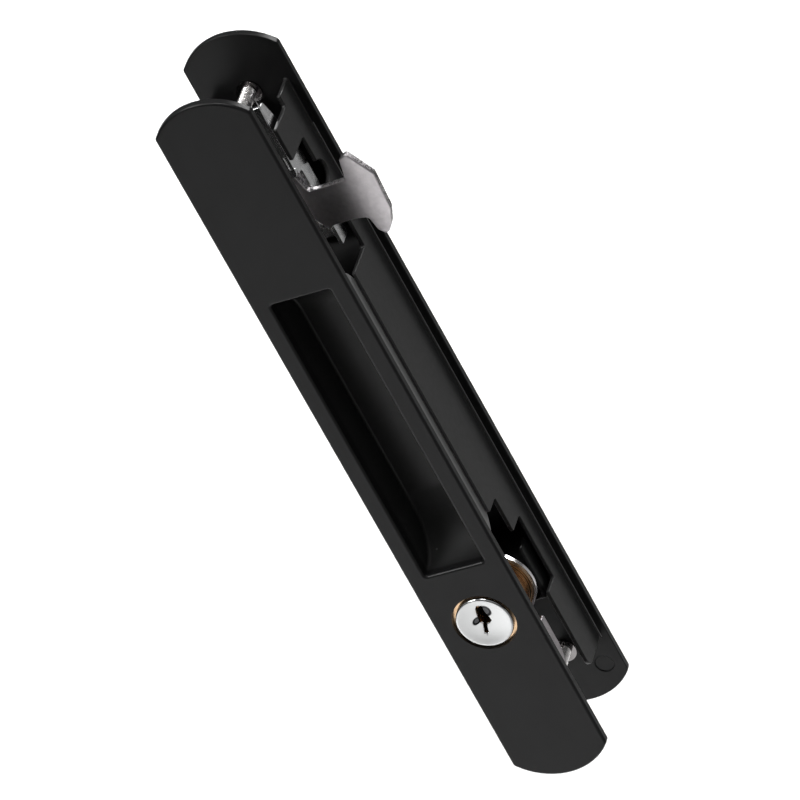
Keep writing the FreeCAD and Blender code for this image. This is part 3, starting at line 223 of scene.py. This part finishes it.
def new_group(name, sizes, results):
    """An empty shader node group on a Vector: its tree, what it is given, and what it gives."""
    group = bpy.data.node_groups.new(name, "ShaderNodeTree")
    group.interface.new_socket(name="Vector", in_out="INPUT", socket_type="NodeSocketVector")
    for label, value in sizes.items():
        kind = "NodeSocketVector" if isinstance(value, tuple) else "NodeSocketFloat"
        socket = group.interface.new_socket(name=label, in_out="INPUT", socket_type=kind)
        socket.default_value = value
    for label in results:
        group.interface.new_socket(name=label, in_out="OUTPUT", socket_type="NodeSocketFloat")
    return group, group.nodes.new("NodeGroupInput").outputs, group.nodes.new("NodeGroupOutput").inputs


def make_grain_group():
    """Fine uneven skin: a height for bump, a mask for gloss, and a slow drift for colour."""
    sizes = {"Fine per metre": 2500.0, "Broad per metre": 300.0}
    group, given, out = new_group("skin_grain", sizes, ("Height", "Gloss mask", "Drift"))
    fine = noise_node(group, given["Vector"], given["Fine per metre"], detail=2.0)
    broad = noise_node(group, given["Vector"], given["Broad per metre"], detail=3.0)
    slow = noise_node(group, given["Vector"], DRIFT_PER_METRE, detail=2.0)
    height = math_node(group, "ADD", math_node(group, "MULTIPLY", fine, GRAIN_FINE_SHARE),
                       math_node(group, "MULTIPLY", broad, GRAIN_BROAD_SHARE))
    group.links.new(height, out["Height"])
    group.links.new(broad, out["Gloss mask"])
    group.links.new(slow, out["Drift"])
    return group


def make_speck_group():
    """Sparse round specks, such as dust nibs in a powder coat."""
    sizes = {"Per metre": 160.0, "Share": 0.1, "Size": 0.06}
    group, given, out = new_group("specks", sizes, ("Mask",))
    cells = group.nodes.new("ShaderNodeTexVoronoi")
    group.links.new(given["Vector"], cells.inputs["Vector"])
    group.links.new(given["Per metre"], cells.inputs["Scale"])
    parts = group.nodes.new("ShaderNodeSeparateColor")
    group.links.new(cells.outputs["Color"], parts.inputs[0])
    chosen = math_node(group, "LESS_THAN", parts.outputs[0], given["Share"])
    near = math_node(group, "LESS_THAN", cells.outputs["Distance"], given["Size"])
    group.links.new(math_node(group, "MULTIPLY", chosen, near), out["Mask"])
    return group


def make_line_group():
    """Fine lines along one way of a surface: brushing, rolling or drawing marks."""
    sizes = {"Squeeze": (1.0, 1.0, 0.02), "Per metre": 5000.0}
    group, given, out = new_group("drawn_lines", sizes, ("Height", "Streak"))
    squeezed = vector_node(group, "MULTIPLY", given["Vector"], given["Squeeze"])
    slower = math_node(group, "MULTIPLY", given["Per metre"], LINE_STREAK_SHARE)
    group.links.new(noise_node(group, squeezed, given["Per metre"], detail=2.0), out["Height"])
    group.links.new(noise_node(group, squeezed, slower, detail=3.0), out["Streak"])
    return group


def make_ring_group():
    """Turning marks: fine rings about an axis along Y through the point given as Centre."""
    sizes = {"Centre": (0.0, 0.0, 0.0), "Rings per metre": 5000.0}
    group, given, out = new_group("turned_rings", sizes, ("Height", "Streak", "Radius"))
    offset = vector_node(group, "SUBTRACT", given["Vector"], given["Centre"])
    radius = vector_node(group, "LENGTH", vector_node(group, "MULTIPLY", offset, (1.0, 0.0, 1.0)))
    along = vector_from(group, X=radius, Y=axes_of(group, offset)["Y"])
    slower = math_node(group, "MULTIPLY", given["Rings per metre"], RING_STREAK_SHARE)
    group.links.new(noise_node(group, along, given["Rings per metre"], detail=2.0), out["Height"])
    group.links.new(noise_node(group, along, slower, detail=2.0), out["Streak"])
    group.links.new(radius, out["Radius"])
    return group


def make_zone_group():
    """A box on both sides of the lock, as a mask. Its sides fade over the width given as Soft."""
    sizes = {"Middle": (0.0, 0.0, 0.0), "Half size": (0.01, 0.01, 0.01), "Soft": 0.0003}
    group, given, out = new_group("zone", sizes, ("Mask",))
    place = axes_of(group, given["Vector"])
    folded = vector_from(group, X=math_node(group, "ABSOLUTE", place["X"]), Y=place["Y"], Z=place["Z"])
    away = vector_node(group, "ABSOLUTE", vector_node(group, "SUBTRACT", folded, given["Middle"]))
    over = axes_of(group, vector_node(group, "SUBTRACT", away, given["Half size"]))
    worst = math_node(group, "MAXIMUM", math_node(group, "MAXIMUM", over["X"], over["Y"]), over["Z"])
    inside = math_node(group, "DIVIDE", worst, given["Soft"])
    group.links.new(math_node(group, "SUBTRACT", 0.5, inside, clamp=True), out["Mask"])
    return group


def make_dimple_group():
    """A round-sided hollow in a face across Y, as a mask that fades from its middle to its edge."""
    sizes = {"Middle": (0.0, 0.0, 0.0), "Half size": (0.002, 1.0, 0.001), "Turn": 0.0, "Flat share": 0.4}
    group, given, out = new_group("pressed_dimple", sizes, ("Mask",))
    turned = group.nodes.new("ShaderNodeVectorRotate")
    turned.rotation_type = "Y_AXIS"
    for socket, label in (("Vector", "Vector"), ("Center", "Middle"), ("Angle", "Turn")):
        group.links.new(given[label], turned.inputs[socket])
    away = vector_node(group, "SUBTRACT", turned.outputs[0], given["Middle"])
    reach = vector_node(group, "LENGTH", vector_node(group, "DIVIDE", away, given["Half size"]))
    fade = group.nodes.new("ShaderNodeMapRange")
    fade.interpolation_type = "SMOOTHSTEP"
    group.links.new(reach, fade.inputs["Value"])
    group.links.new(given["Flat share"], fade.inputs["From Min"])
    fade.inputs["From Max"].default_value = 1.0
    fade.inputs["To Min"].default_value = 1.0
    fade.inputs["To Max"].default_value = 0.0
    group.links.new(fade.outputs["Result"], out["Mask"])
    return group


GRAIN = make_grain_group()
SPECKS = make_speck_group()
LINES = make_line_group()
RINGS = make_ring_group()
ZONE = make_zone_group()
DIMPLE = make_dimple_group()


class Finish:
    """A material under construction: its Principled shader and short ways to feed it."""

    def __init__(self, name, **fixed):
        self.material = bpy.data.materials.new(name)
        self.material.use_nodes = True
        self.tree = self.material.node_tree
        self.shader = self.tree.nodes["Principled BSDF"]
        for socket, value in fixed.items():
            self.shader.inputs[socket.replace("_", " ")].default_value = value
        coordinates = self.tree.nodes.new("ShaderNodeTexCoord")
        self.place = coordinates.outputs["Object"]
        self.facing = coordinates.outputs["Normal"]
        self.normal = None

    def use(self, group, **values):
        """One of the shared groups, laid on the piece with these values."""
        node = self.tree.nodes.new("ShaderNodeGroup")
        node.node_tree = group
        self.tree.links.new(self.place, node.inputs["Vector"])
        for socket, value in values.items():
            node.inputs[socket.replace("_", " ")].default_value = value
        return node.outputs

    def ranged(self, source, low, high, start=NOISE_LOW, end=NOISE_HIGH):
        """A number that goes from low to high while the source goes from start to end."""
        node = self.tree.nodes.new("ShaderNodeMapRange")
        self.tree.links.new(source, node.inputs["Value"])
        for label, value in (("From Min", start), ("From Max", end), ("To Min", low), ("To Max", high)):
            node.inputs[label].default_value = value
        return node.outputs["Result"]

    def rising(self, source, start=NOISE_LOW, end=NOISE_HIGH):
        return self.ranged(source, 0.0, 1.0, start, end)

    def falling(self, source, start, end):
        return self.ranged(source, 1.0, 0.0, start, end)

    def mix(self, kind, mask, first, second):
        node = self.tree.nodes.new("ShaderNodeMix")
        node.data_type = kind
        self.tree.links.new(mask, node.inputs["Factor"])
        for label, value in (("A", first), ("B", second)):
            if isinstance(value, tuple):
                value = (*value, 1.0)
            set_input(self.tree, node.inputs[label], value)
        return node.outputs["Result"]

    def mixed(self, mask, first, second):
        """A colour between two, by a mask. Each is a plain colour or a socket."""
        return self.mix("RGBA", mask, first, second)

    def blended(self, mask, first, second):
        """A number between two, by a mask."""
        return self.mix("FLOAT", mask, first, second)

    def math(self, operation, a, b=None, clamp=False):
        return math_node(self.tree, operation, a, b, clamp)

    def feed(self, socket, source):
        self.tree.links.new(source, self.shader.inputs[socket])

    def bump(self, height, strength, distance):
        """One more layer of bump over those before it."""
        node = self.tree.nodes.new("ShaderNodeBump")
        node.inputs["Strength"].default_value = strength
        node.inputs["Distance"].default_value = distance
        self.tree.links.new(height, node.inputs["Height"])
        if self.normal is not None:
            self.tree.links.new(self.normal, node.inputs["Normal"])
        self.normal = node.outputs["Normal"]
        self.tree.links.new(self.normal, self.shader.inputs["Normal"])


def black_coat():
    """Satin black powder coat, dull on the cast sides that the door hides, with painted light: paler greys
    in the shaded pull's well, pan sides and wall rims, and a painted highlight line at the walls' foot.
    """
    finish = Finish("black_coat", Metallic=0.0, Specular_IOR_Level=0.19)
    grain = finish.use(GRAIN, Fine_per_metre=2600.0, Broad_per_metre=420.0)
    nibs = finish.use(SPECKS, Per_metre=130.0, Share=0.05, Size=0.055)["Mask"]
    coat = finish.mixed(finish.rising(grain["Drift"]), COAT_DEEP, COAT_PALE)
    # paler greys over the coat: painted light in shaded places and a painted highlight at the walls' foot
    for area, grey in COAT_GREYS_AND_PAINTED_LIGHT:
        coat = finish.mixed(finish.use(ZONE, **area)["Mask"], coat, grey)
    finish.feed("Base Color", finish.mixed(nibs, coat, COAT_NIB))
    rough = finish.ranged(grain["Gloss mask"], low=0.29, high=0.36)
    for area in DULL_AREAS:
        rough = finish.blended(finish.use(ZONE, **area)["Mask"], rough, DULL_ROUGHNESS)
    finish.feed("Roughness", rough)
    finish.bump(grain["Height"], strength=0.12, distance=0.06 * MM)
    finish.bump(nibs, strength=0.4, distance=0.12 * MM)
    return finish.material


def black_plastic():
    """Moulded black plastic, a little finer and shinier than the coat."""
    finish = Finish("black_plastic", Metallic=0.0, Specular_IOR_Level=0.13)
    grain = finish.use(GRAIN, Fine_per_metre=3200.0, Broad_per_metre=700.0)
    finish.feed("Base Color", finish.mixed(finish.rising(grain["Drift"]),
                                           (0.0045, 0.0045, 0.0045), (0.0065, 0.0065, 0.0065)))
    finish.feed("Roughness", finish.ranged(grain["Gloss mask"], low=0.28, high=0.38))
    finish.bump(grain["Height"], strength=0.25, distance=0.06 * MM)
    return finish.material


def plated_steel(name, bright, dull, rough, waviness):
    """Bright plating over rolled sheet or drawn bar, wavy where it was pressed."""
    finish = Finish(name, Metallic=1.0)
    lines = finish.use(LINES, Squeeze=ROLLED_UPWARD, Per_metre=4200.0)
    grain = finish.use(GRAIN, Fine_per_metre=1800.0, Broad_per_metre=330.0)
    finish.feed("Base Color", finish.mixed(finish.rising(grain["Gloss mask"]), bright, dull))
    finish.feed("Roughness", finish.ranged(lines["Streak"], low=rough - 0.04, high=rough + 0.06))
    finish.bump(lines["Height"], strength=0.10, distance=0.02 * MM)
    finish.bump(grain["Height"], strength=waviness, distance=0.10 * MM)
    return finish.material


def hook_steel():
    """Plated hook: satin on its two faces, rougher and darker on the sheared edge between them."""
    finish = Finish("hook_steel", Metallic=1.0)
    grain = finish.use(GRAIN, Fine_per_metre=3600.0, Broad_per_metre=520.0)
    coarse = finish.use(GRAIN, Fine_per_metre=1500.0, Broad_per_metre=240.0)
    flat = finish.math("ABSOLUTE", axes_of(finish.tree, finish.facing)["Y"])
    edge = finish.falling(flat, 0.25, 0.60)
    face = finish.mixed(finish.rising(grain["Gloss mask"]), (0.72, 0.685, 0.70), (0.62, 0.59, 0.602))
    sheared = finish.mixed(finish.rising(coarse["Height"], 0.42, 0.58),
                           (0.62, 0.60, 0.61), (0.09, 0.085, 0.088))
    finish.feed("Base Color", finish.mixed(edge, face, sheared))
    satin = finish.ranged(grain["Gloss mask"], low=0.28, high=0.36)
    finish.feed("Roughness", finish.blended(edge, satin, 0.38))
    finish.bump(grain["Height"], strength=0.6, distance=0.10 * MM)
    return finish.material


def turned_metal(name, bright, dull, rough, ring_depth):
    """Metal with turning marks about the cylinder's axis, and painted shade in the rear flange's groove.
    """
    finish = Finish(name, Metallic=1.0)
    rings = finish.use(RINGS, Centre=(0.0, 0.0, CYLINDER_Z), Rings_per_metre=5200.0)
    grain = finish.use(GRAIN, Fine_per_metre=2000.0, Broad_per_metre=350.0)
    metal = finish.mixed(finish.rising(grain["Gloss mask"]), bright, dull)
    # painted shade: a dark line at the groove's radius
    off_groove = finish.math("ABSOLUTE", finish.math("SUBTRACT", rings["Radius"], FLANGE_GROOVE_R))
    groove = finish.falling(off_groove, GROOVE_INNER, GROOVE_OUTER)
    finish.feed("Base Color", finish.mixed(groove, metal, tuple(value * GROOVE_SHADE for value in dull)))
    finish.feed("Roughness", finish.ranged(rings["Streak"], low=rough - 0.05, high=rough + 0.07))
    finish.bump(rings["Height"], strength=ring_depth, distance=0.03 * MM)
    return finish.material


def polished_chrome():
    """Mirror-bright chrome with the faintest wave in it, and painted shade in the hollows beside the
    keyway.
    """
    finish = Finish("chrome", Metallic=1.0)
    grain = finish.use(GRAIN, Fine_per_metre=1500.0, Broad_per_metre=180.0)
    metal = finish.mixed(finish.rising(grain["Drift"]), (0.52, 0.525, 0.525), (0.48, 0.485, 0.485))
    finish.feed("Roughness", finish.ranged(grain["Gloss mask"], low=0.04, high=0.08))
    finish.bump(grain["Gloss mask"], strength=0.03, distance=0.10 * MM)
    for place in KEY_HOLLOWS:
        hollow = finish.use(DIMPLE, Middle=(place["across"], CAP_FACE, CYLINDER_Z + place["up"]),
                            Half_size=(place["half_width"], 1.0, place["half_height"]),
                            Turn=math.radians(place["turn"]), Flat_share=0.30)["Mask"]
        face = finish.math("SUBTRACT", 1.0, hollow)
        slope = finish.math("MULTIPLY", hollow, face)
        # painted shade: the hollows' floors and slopes are darkened
        metal = finish.mixed(finish.ranged(hollow, 0.0, 0.95, 0.0, 1.0), metal, HOLLOW_FLOOR_SHADE)
        metal = finish.mixed(finish.rising(slope, 0.03, 0.18), metal, HOLLOW_SLOPE_SHADE)
        finish.bump(face, strength=1.0, distance=HOLLOW_DEPTH)
    finish.feed("Base Color", metal)
    return finish.material


def nylon():
    """Natural white nylon."""
    finish = Finish("nylon", Metallic=0.0, Specular_IOR_Level=0.45)
    grain = finish.use(GRAIN, Fine_per_metre=2200.0, Broad_per_metre=300.0)
    finish.feed("Base Color", finish.mixed(finish.rising(grain["Drift"]),
                                           (0.62, 0.60, 0.54), (0.70, 0.68, 0.62)))
    finish.feed("Roughness", finish.ranged(grain["Gloss mask"], low=0.38, high=0.52))
    finish.bump(grain["Height"], strength=0.15, distance=0.05 * MM)
    return finish.material


FINISHES = {
    "black_coat": black_coat(),
    "black_plastic": black_plastic(),
    "zinc_plate": plated_steel("zinc_plate", bright=(0.88, 0.86, 0.85), dull=(0.74, 0.72, 0.71),
                               rough=0.26, waviness=0.3),
    "case_plate": plated_steel("case_plate", bright=(0.84, 0.84, 0.84), dull=(0.58, 0.585, 0.59),
                               rough=0.20, waviness=0.6),
    # the bracket's zinc plating darkened as painted shade
    "bracket_plate": plated_steel("bracket_plate", bright=(0.40, 0.37, 0.38), dull=(0.30, 0.28, 0.29),
                                  rough=0.26, waviness=0.3),
    # the collars' zinc plating darkened as painted shade
    "shaded_collar_plate": plated_steel("shaded_collar_plate", bright=(0.27, 0.26, 0.26), dull=(0.20, 0.19, 0.19),
                                 rough=0.14, waviness=0.3),
    "hook_steel": hook_steel(),
    "chrome": polished_chrome(),
    "brass": turned_metal("brass", bright=(0.70, 0.49, 0.31), dull=(0.60, 0.41, 0.25),
                          rough=0.24, ring_depth=0.12),
    "bright_ring": turned_metal("bright_ring", bright=(0.93, 0.92, 0.93), dull=(0.86, 0.85, 0.86),
                                rough=0.24, ring_depth=0.05),
    "spring_steel": turned_metal("spring_steel", bright=(0.42, 0.42, 0.44), dull=(0.34, 0.34, 0.36),
                                 rough=0.34, ring_depth=0.15),
    "zinc_casting": turned_metal("zinc_casting", bright=(0.52, 0.53, 0.55), dull=(0.44, 0.45, 0.47),
                                 rough=0.36, ring_depth=0.10),
    "nylon": nylon(),
}

SLOTS = {part["node"]: part["material_slot"] for part in frame["record"]["subparts"]}

# Nodes whose plating looks other than their slot's
OWN_FINISHES = {
    "cylinder_ring": "bright_ring",
    "lock_case": "case_plate",
    "lock_case_cover": "case_plate",
    "screw_collars": "shaded_collar_plate",
}


def dress_cad_nodes():
    """Each CAD node takes the finish of its slot in the record, or its own where it has one."""
    for name, slot in SLOTS.items():
        mesh = frame["nodes"][name].data
        mesh.materials.clear()
        mesh.materials.append(FINISHES[OWN_FINISHES.get(name, slot)])


def make_thread_tree():
    """Geometry Nodes: two threaded shanks along Y, from their tips to their necks."""
    tree = bpy.data.node_groups.new("screw_threads", "GeometryNodeTree")
    tree.is_modifier = True
    lengths = {
        "Radius": SCREW_R, "Length": SCREW_NECK - SCREW_TIP, "Pitch": THREAD_PITCH, "Depth": THREAD_DEPTH,
        "Point": THREAD_POINT, "Tip": SCREW_TIP, "Lowest": SCREW_LOW, "Apart": SCREW_HIGH - SCREW_LOW,
    }
    counts = {"Sides": THREAD_SIDES, "Rows": THREAD_ROWS}
    for labels, kind in ((lengths, "NodeSocketFloat"), (counts, "NodeSocketInt")):
        for label in labels:
            tree.interface.new_socket(name=label, in_out="INPUT", socket_type=kind)
    tree.interface.new_socket(name="Finish", in_out="INPUT", socket_type="NodeSocketMaterial")
    tree.interface.new_socket(name="Geometry", in_out="OUTPUT", socket_type="NodeSocketGeometry")
    given = tree.nodes.new("NodeGroupInput").outputs
    out = tree.nodes.new("NodeGroupOutput").inputs

    def work(operation, a, b=None, clamp=False):
        return math_node(tree, operation, a, b, clamp)

    rod = tree.nodes.new("GeometryNodeMeshCylinder")
    for socket, label in (("Vertices", "Sides"), ("Side Segments", "Rows"),
                          ("Radius", "Radius"), ("Depth", "Length")):
        tree.links.new(given[label], rod.inputs[socket])
    place = axes_of(tree, tree.nodes.new("GeometryNodeInputPosition").outputs[0])
    along = work("ADD", place["Z"], work("MULTIPLY", given["Length"], 0.5))
    around = work("DIVIDE", work("ARCTAN2", place["Y"], place["X"]), 2 * math.pi)
    turns = work("SUBTRACT", work("DIVIDE", along, given["Pitch"]), around)
    ridge = work("ABSOLUTE", work("SUBTRACT", work("MULTIPLY", work("FRACT", turns), 2.0), 1.0))
    ridge = work("MULTIPLY", work("SUBTRACT", ridge, THREAD_ROOT), THREAD_STEEPNESS, clamp=True)
    cut = work("MULTIPLY", given["Depth"], work("SUBTRACT", 1.0, ridge))
    tapered = work("MAXIMUM", cut, work("SUBTRACT", given["Point"], along))
    share = work("SUBTRACT", 1.0, work("DIVIDE", tapered, given["Radius"]))
    shaped = tree.nodes.new("GeometryNodeSetPosition")
    tree.links.new(rod.outputs["Mesh"], shaped.inputs["Geometry"])
    tree.links.new(vector_from(tree, X=work("MULTIPLY", place["X"], share),
                               Y=work("MULTIPLY", place["Y"], share), Z=along), shaped.inputs["Position"])
    laid = tree.nodes.new("GeometryNodeTransform")
    laid.inputs["Rotation"].default_value = (-math.pi / 2, 0.0, 0.0)
    tree.links.new(shaped.outputs["Geometry"], laid.inputs["Geometry"])

    stations = tree.nodes.new("GeometryNodeMeshLine")
    stations.inputs["Count"].default_value = 2
    tree.links.new(vector_from(tree, Y=given["Tip"], Z=given["Lowest"]), stations.inputs["Start Location"])
    tree.links.new(vector_from(tree, Z=given["Apart"]), stations.inputs["Offset"])
    placed = tree.nodes.new("GeometryNodeInstanceOnPoints")
    tree.links.new(stations.outputs["Mesh"], placed.inputs["Points"])
    tree.links.new(laid.outputs["Geometry"], placed.inputs["Instance"])
    real = tree.nodes.new("GeometryNodeRealizeInstances")
    tree.links.new(placed.outputs["Instances"], real.inputs["Geometry"])
    dressed = tree.nodes.new("GeometryNodeSetMaterial")
    tree.links.new(real.outputs["Geometry"], dressed.inputs["Geometry"])
    tree.links.new(given["Finish"], dressed.inputs["Material"])
    tree.links.new(dressed.outputs["Geometry"], out["Geometry"])
    return tree, {**lengths, **counts, "Finish": FINISHES["zinc_plate"]}


def grown(name, tree, values):
    """The plain mesh that a Geometry Nodes tree makes with these values."""
    seed = bpy.data.objects.new(name + "_seed", bpy.data.meshes.new(name + "_seed"))
    bpy.context.scene.collection.objects.link(seed)
    modifier = seed.modifiers.new("tree", "NODES")
    modifier.node_group = tree
    for item in tree.interface.items_tree:
        if item.in_out == "INPUT":
            modifier[item.identifier] = values[item.name]
    settled = seed.evaluated_get(bpy.context.evaluated_depsgraph_get())
    mesh = bpy.data.meshes.new_from_object(settled)
    bpy.data.objects.remove(seed)
    return mesh


def piece(name, mesh, body, replaced):
    """A piece at the origin that rides on a body, in place of a CAD node."""
    thing = bpy.data.objects.new(name, mesh)
    bpy.context.scene.collection.objects.link(thing)
    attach(thing, body)
    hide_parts(replaced)


def round_edges(node, name, body, radius, finish):
    """A copy of a CAD node whose sharp edges are rounded, for pressed, stamped and cast pieces."""
    shape = bmesh.new()
    shape.from_mesh(frame["nodes"][node].data)
    bmesh.ops.remove_doubles(shape, verts=shape.verts, dist=EDGE_MERGE)
    bmesh.ops.dissolve_limit(shape, angle_limit=math.radians(FLAT_ANGLE), verts=shape.verts,
                             edges=shape.edges)
    sharp = [edge for edge in shape.edges if len(edge.link_faces) == 2
             and edge.calc_face_angle() > math.radians(SHARP_ANGLE)]
    bmesh.ops.bevel(shape, geom=sharp, offset=radius, offset_type="OFFSET", segments=EDGE_STEPS,
                    profile=0.5, affect="EDGES", clamp_overlap=False)
    bmesh.ops.triangulate(shape, faces=[face for face in shape.faces if len(face.verts) > 4])
    for face in shape.faces:
        face.smooth = True
    raw = bpy.data.meshes.new(name)
    shape.to_mesh(raw)
    shape.free()
    raw.set_sharp_from_angle(angle=math.radians(SMOOTH_ANGLE))
    holder = bpy.data.objects.new(name + "_raw", raw)
    bpy.context.scene.collection.objects.link(holder)
    weights = holder.modifiers.new("flats", "WEIGHTED_NORMAL")
    weights.keep_sharp = True
    settled = holder.evaluated_get(bpy.context.evaluated_depsgraph_get())
    mesh = bpy.data.meshes.new_from_object(settled)
    bpy.data.objects.remove(holder)
    mesh.materials.clear()
    mesh.materials.append(FINISHES[finish])
    piece(name, mesh, body, node)


def make_joining_screws():
    """The solids' own screw heads on shanks with a real thread."""
    shape = bmesh.new()
    shape.from_mesh(frame["nodes"]["fixing_screws"].data)
    bmesh.ops.remove_doubles(shape, verts=shape.verts, dist=HEAD_MERGE)
    everything = shape.verts[:] + shape.edges[:] + shape.faces[:]
    cut = bmesh.ops.bisect_plane(shape, geom=everything, plane_co=(0, SCREW_NECK - NECK_LAP, 0),
                                 plane_no=(0, 1, 0), clear_inner=True)
    rim = [item for item in cut["geom_cut"] if isinstance(item, bmesh.types.BMEdge)]
    bmesh.ops.holes_fill(shape, edges=rim)
    shape.from_mesh(grown("joining_screws", *make_thread_tree()))
    for face in shape.faces:
        face.material_index = 0
    mesh = bpy.data.meshes.new("joining_screws")
    shape.to_mesh(mesh)
    shape.free()
    mesh.materials.append(FINISHES["zinc_plate"])
    piece("joining_screws", mesh, "lock", "fixing_screws")


def make_floor():
    """A plain white floor, well below the lock."""
    level = CAD_BOX[0].z - FLOOR_DROP
    corners = [(x * FLOOR_HALF, y * FLOOR_HALF, level) for x, y in ((-1, -1), (1, -1), (1, 1), (-1, 1))]
    mesh = bpy.data.meshes.new("floor")
    mesh.from_pydata(corners, [], [(0, 1, 2, 3)])
    floor = bpy.data.objects.new("floor", mesh)
    bpy.context.scene.collection.objects.link(floor)
    paint = Finish("floor_paint", Metallic=0.0, Roughness=0.9, Specular_IOR_Level=0.1)
    grain = paint.use(GRAIN, Fine_per_metre=30.0, Broad_per_metre=3.0)
    paint.feed("Base Color", paint.mixed(grain["Drift"], *FLOOR_WHITES))
    mesh.materials.append(paint.material)


def soft_light(name, place, aim, width, height, watts, spread):
    """A softbox that shines from a place towards what it aims at."""
    data = bpy.data.lights.new(name, "AREA")
    data.shape = "RECTANGLE"
    data.size = width
    data.size_y = height
    data.energy = watts
    data.spread = math.radians(spread)
    lamp = bpy.data.objects.new(name, data)
    bpy.context.scene.collection.objects.link(lamp)
    lamp.location = place
    lamp.rotation_mode = "QUATERNION"
    lamp.rotation_quaternion = (Vector(aim) - Vector(place)).to_track_quat("-Z", "Y")


def light_studio():
    """A room that is dim at the floor and lighter overhead, three narrow softboxes on the lock, and
    two that shine straight down: one on the floor before it, and a long one on the floor behind."""
    world = bpy.data.worlds.new("studio")
    bpy.context.scene.world = world
    world.use_nodes = True
    tree = world.node_tree
    sky = tree.nodes["Background"]
    sky.inputs["Color"].default_value = (1.0, 1.0, 1.0, 1.0)
    height = axes_of(tree, tree.nodes.new("ShaderNodeTexCoord").outputs["Generated"])["Z"]
    fade = tree.nodes.new("ShaderNodeMapRange")
    tree.links.new(height, fade.inputs["Value"])
    for label, value in SKY_FADE.items():
        fade.inputs[label].default_value = value
    tree.links.new(fade.outputs["Result"], sky.inputs["Strength"])
    soft_light("key_light", place=(-0.9, -1.0, 1.6), aim=LOOK_AT,
               width=0.8, height=0.8, watts=1.2, spread=30)
    soft_light("overhead_light", place=(0.40, -0.15, 1.9), aim=LOOK_AT,
               width=0.8, height=0.8, watts=0.8, spread=24)
    soft_light("back_light", place=(1.1, 1.8, 1.1), aim=LOOK_AT,
               width=0.8, height=0.7, watts=1.0, spread=30)
    soft_light("front_floor_light", place=(-0.80, -1.15, 1.5), aim=(-0.80, -1.15, -0.6),
               width=0.9, height=0.9, watts=2.8, spread=60)
    soft_light("floor_light", place=(-1.05, 0.9, 1.0), aim=(-1.05, 0.9, -0.6),
               width=1.6, height=4.0, watts=31.0, spread=55)


def place_camera():
    """The photograph's view, with its tilt."""
    azimuth = math.radians(CAMERA_AZIMUTH)
    elevation = math.radians(CAMERA_ELEVATION)
    roll = math.radians(CAMERA_ROLL)
    back = Vector((math.sin(azimuth) * math.cos(elevation), -math.cos(azimuth) * math.cos(elevation),
                   math.sin(elevation)))
    level = Vector((math.cos(azimuth), math.sin(azimuth), 0.0))
    right = level * math.cos(roll) + back.cross(level) * math.sin(roll)
    up = back.cross(right)
    turn = Matrix((right, up, back)).transposed().to_4x4()
    data = bpy.data.cameras.new("camera")
    data.lens = LENS
    data.sensor_width = SENSOR
    data.clip_start = NEAREST
    data.clip_end = FARTHEST
    camera = bpy.data.objects.new("camera", data)
    bpy.context.scene.collection.objects.link(camera)
    camera.matrix_world = Matrix.Translation(LOOK_AT + back * CAMERA_DISTANCE) @ turn
    bpy.context.scene.camera = camera


bpy.context.scene.view_settings.view_transform = "Standard"
dress_cad_nodes()
make_joining_screws()
round_edges("hook", "hook_rounded", "hook", HOOK_EDGE, "hook_steel")
round_edges("plug_face_cap", "face_cap", "key", CAP_EDGE, "chrome")
round_edges("lock_case_cover", "case_cover", "lock", SHEET_EDGE, "case_plate")
round_edges("lock_case", "hook_case", "lock", SHEET_EDGE, "case_plate")
round_edges("cylinder_bracket", "fork_bracket", "lock", SHEET_EDGE, "bracket_plate")
round_edges("inside_plate", "inner_casting", "lock", CAST_EDGE, "black_coat")
make_floor()
light_studio()
place_camera()
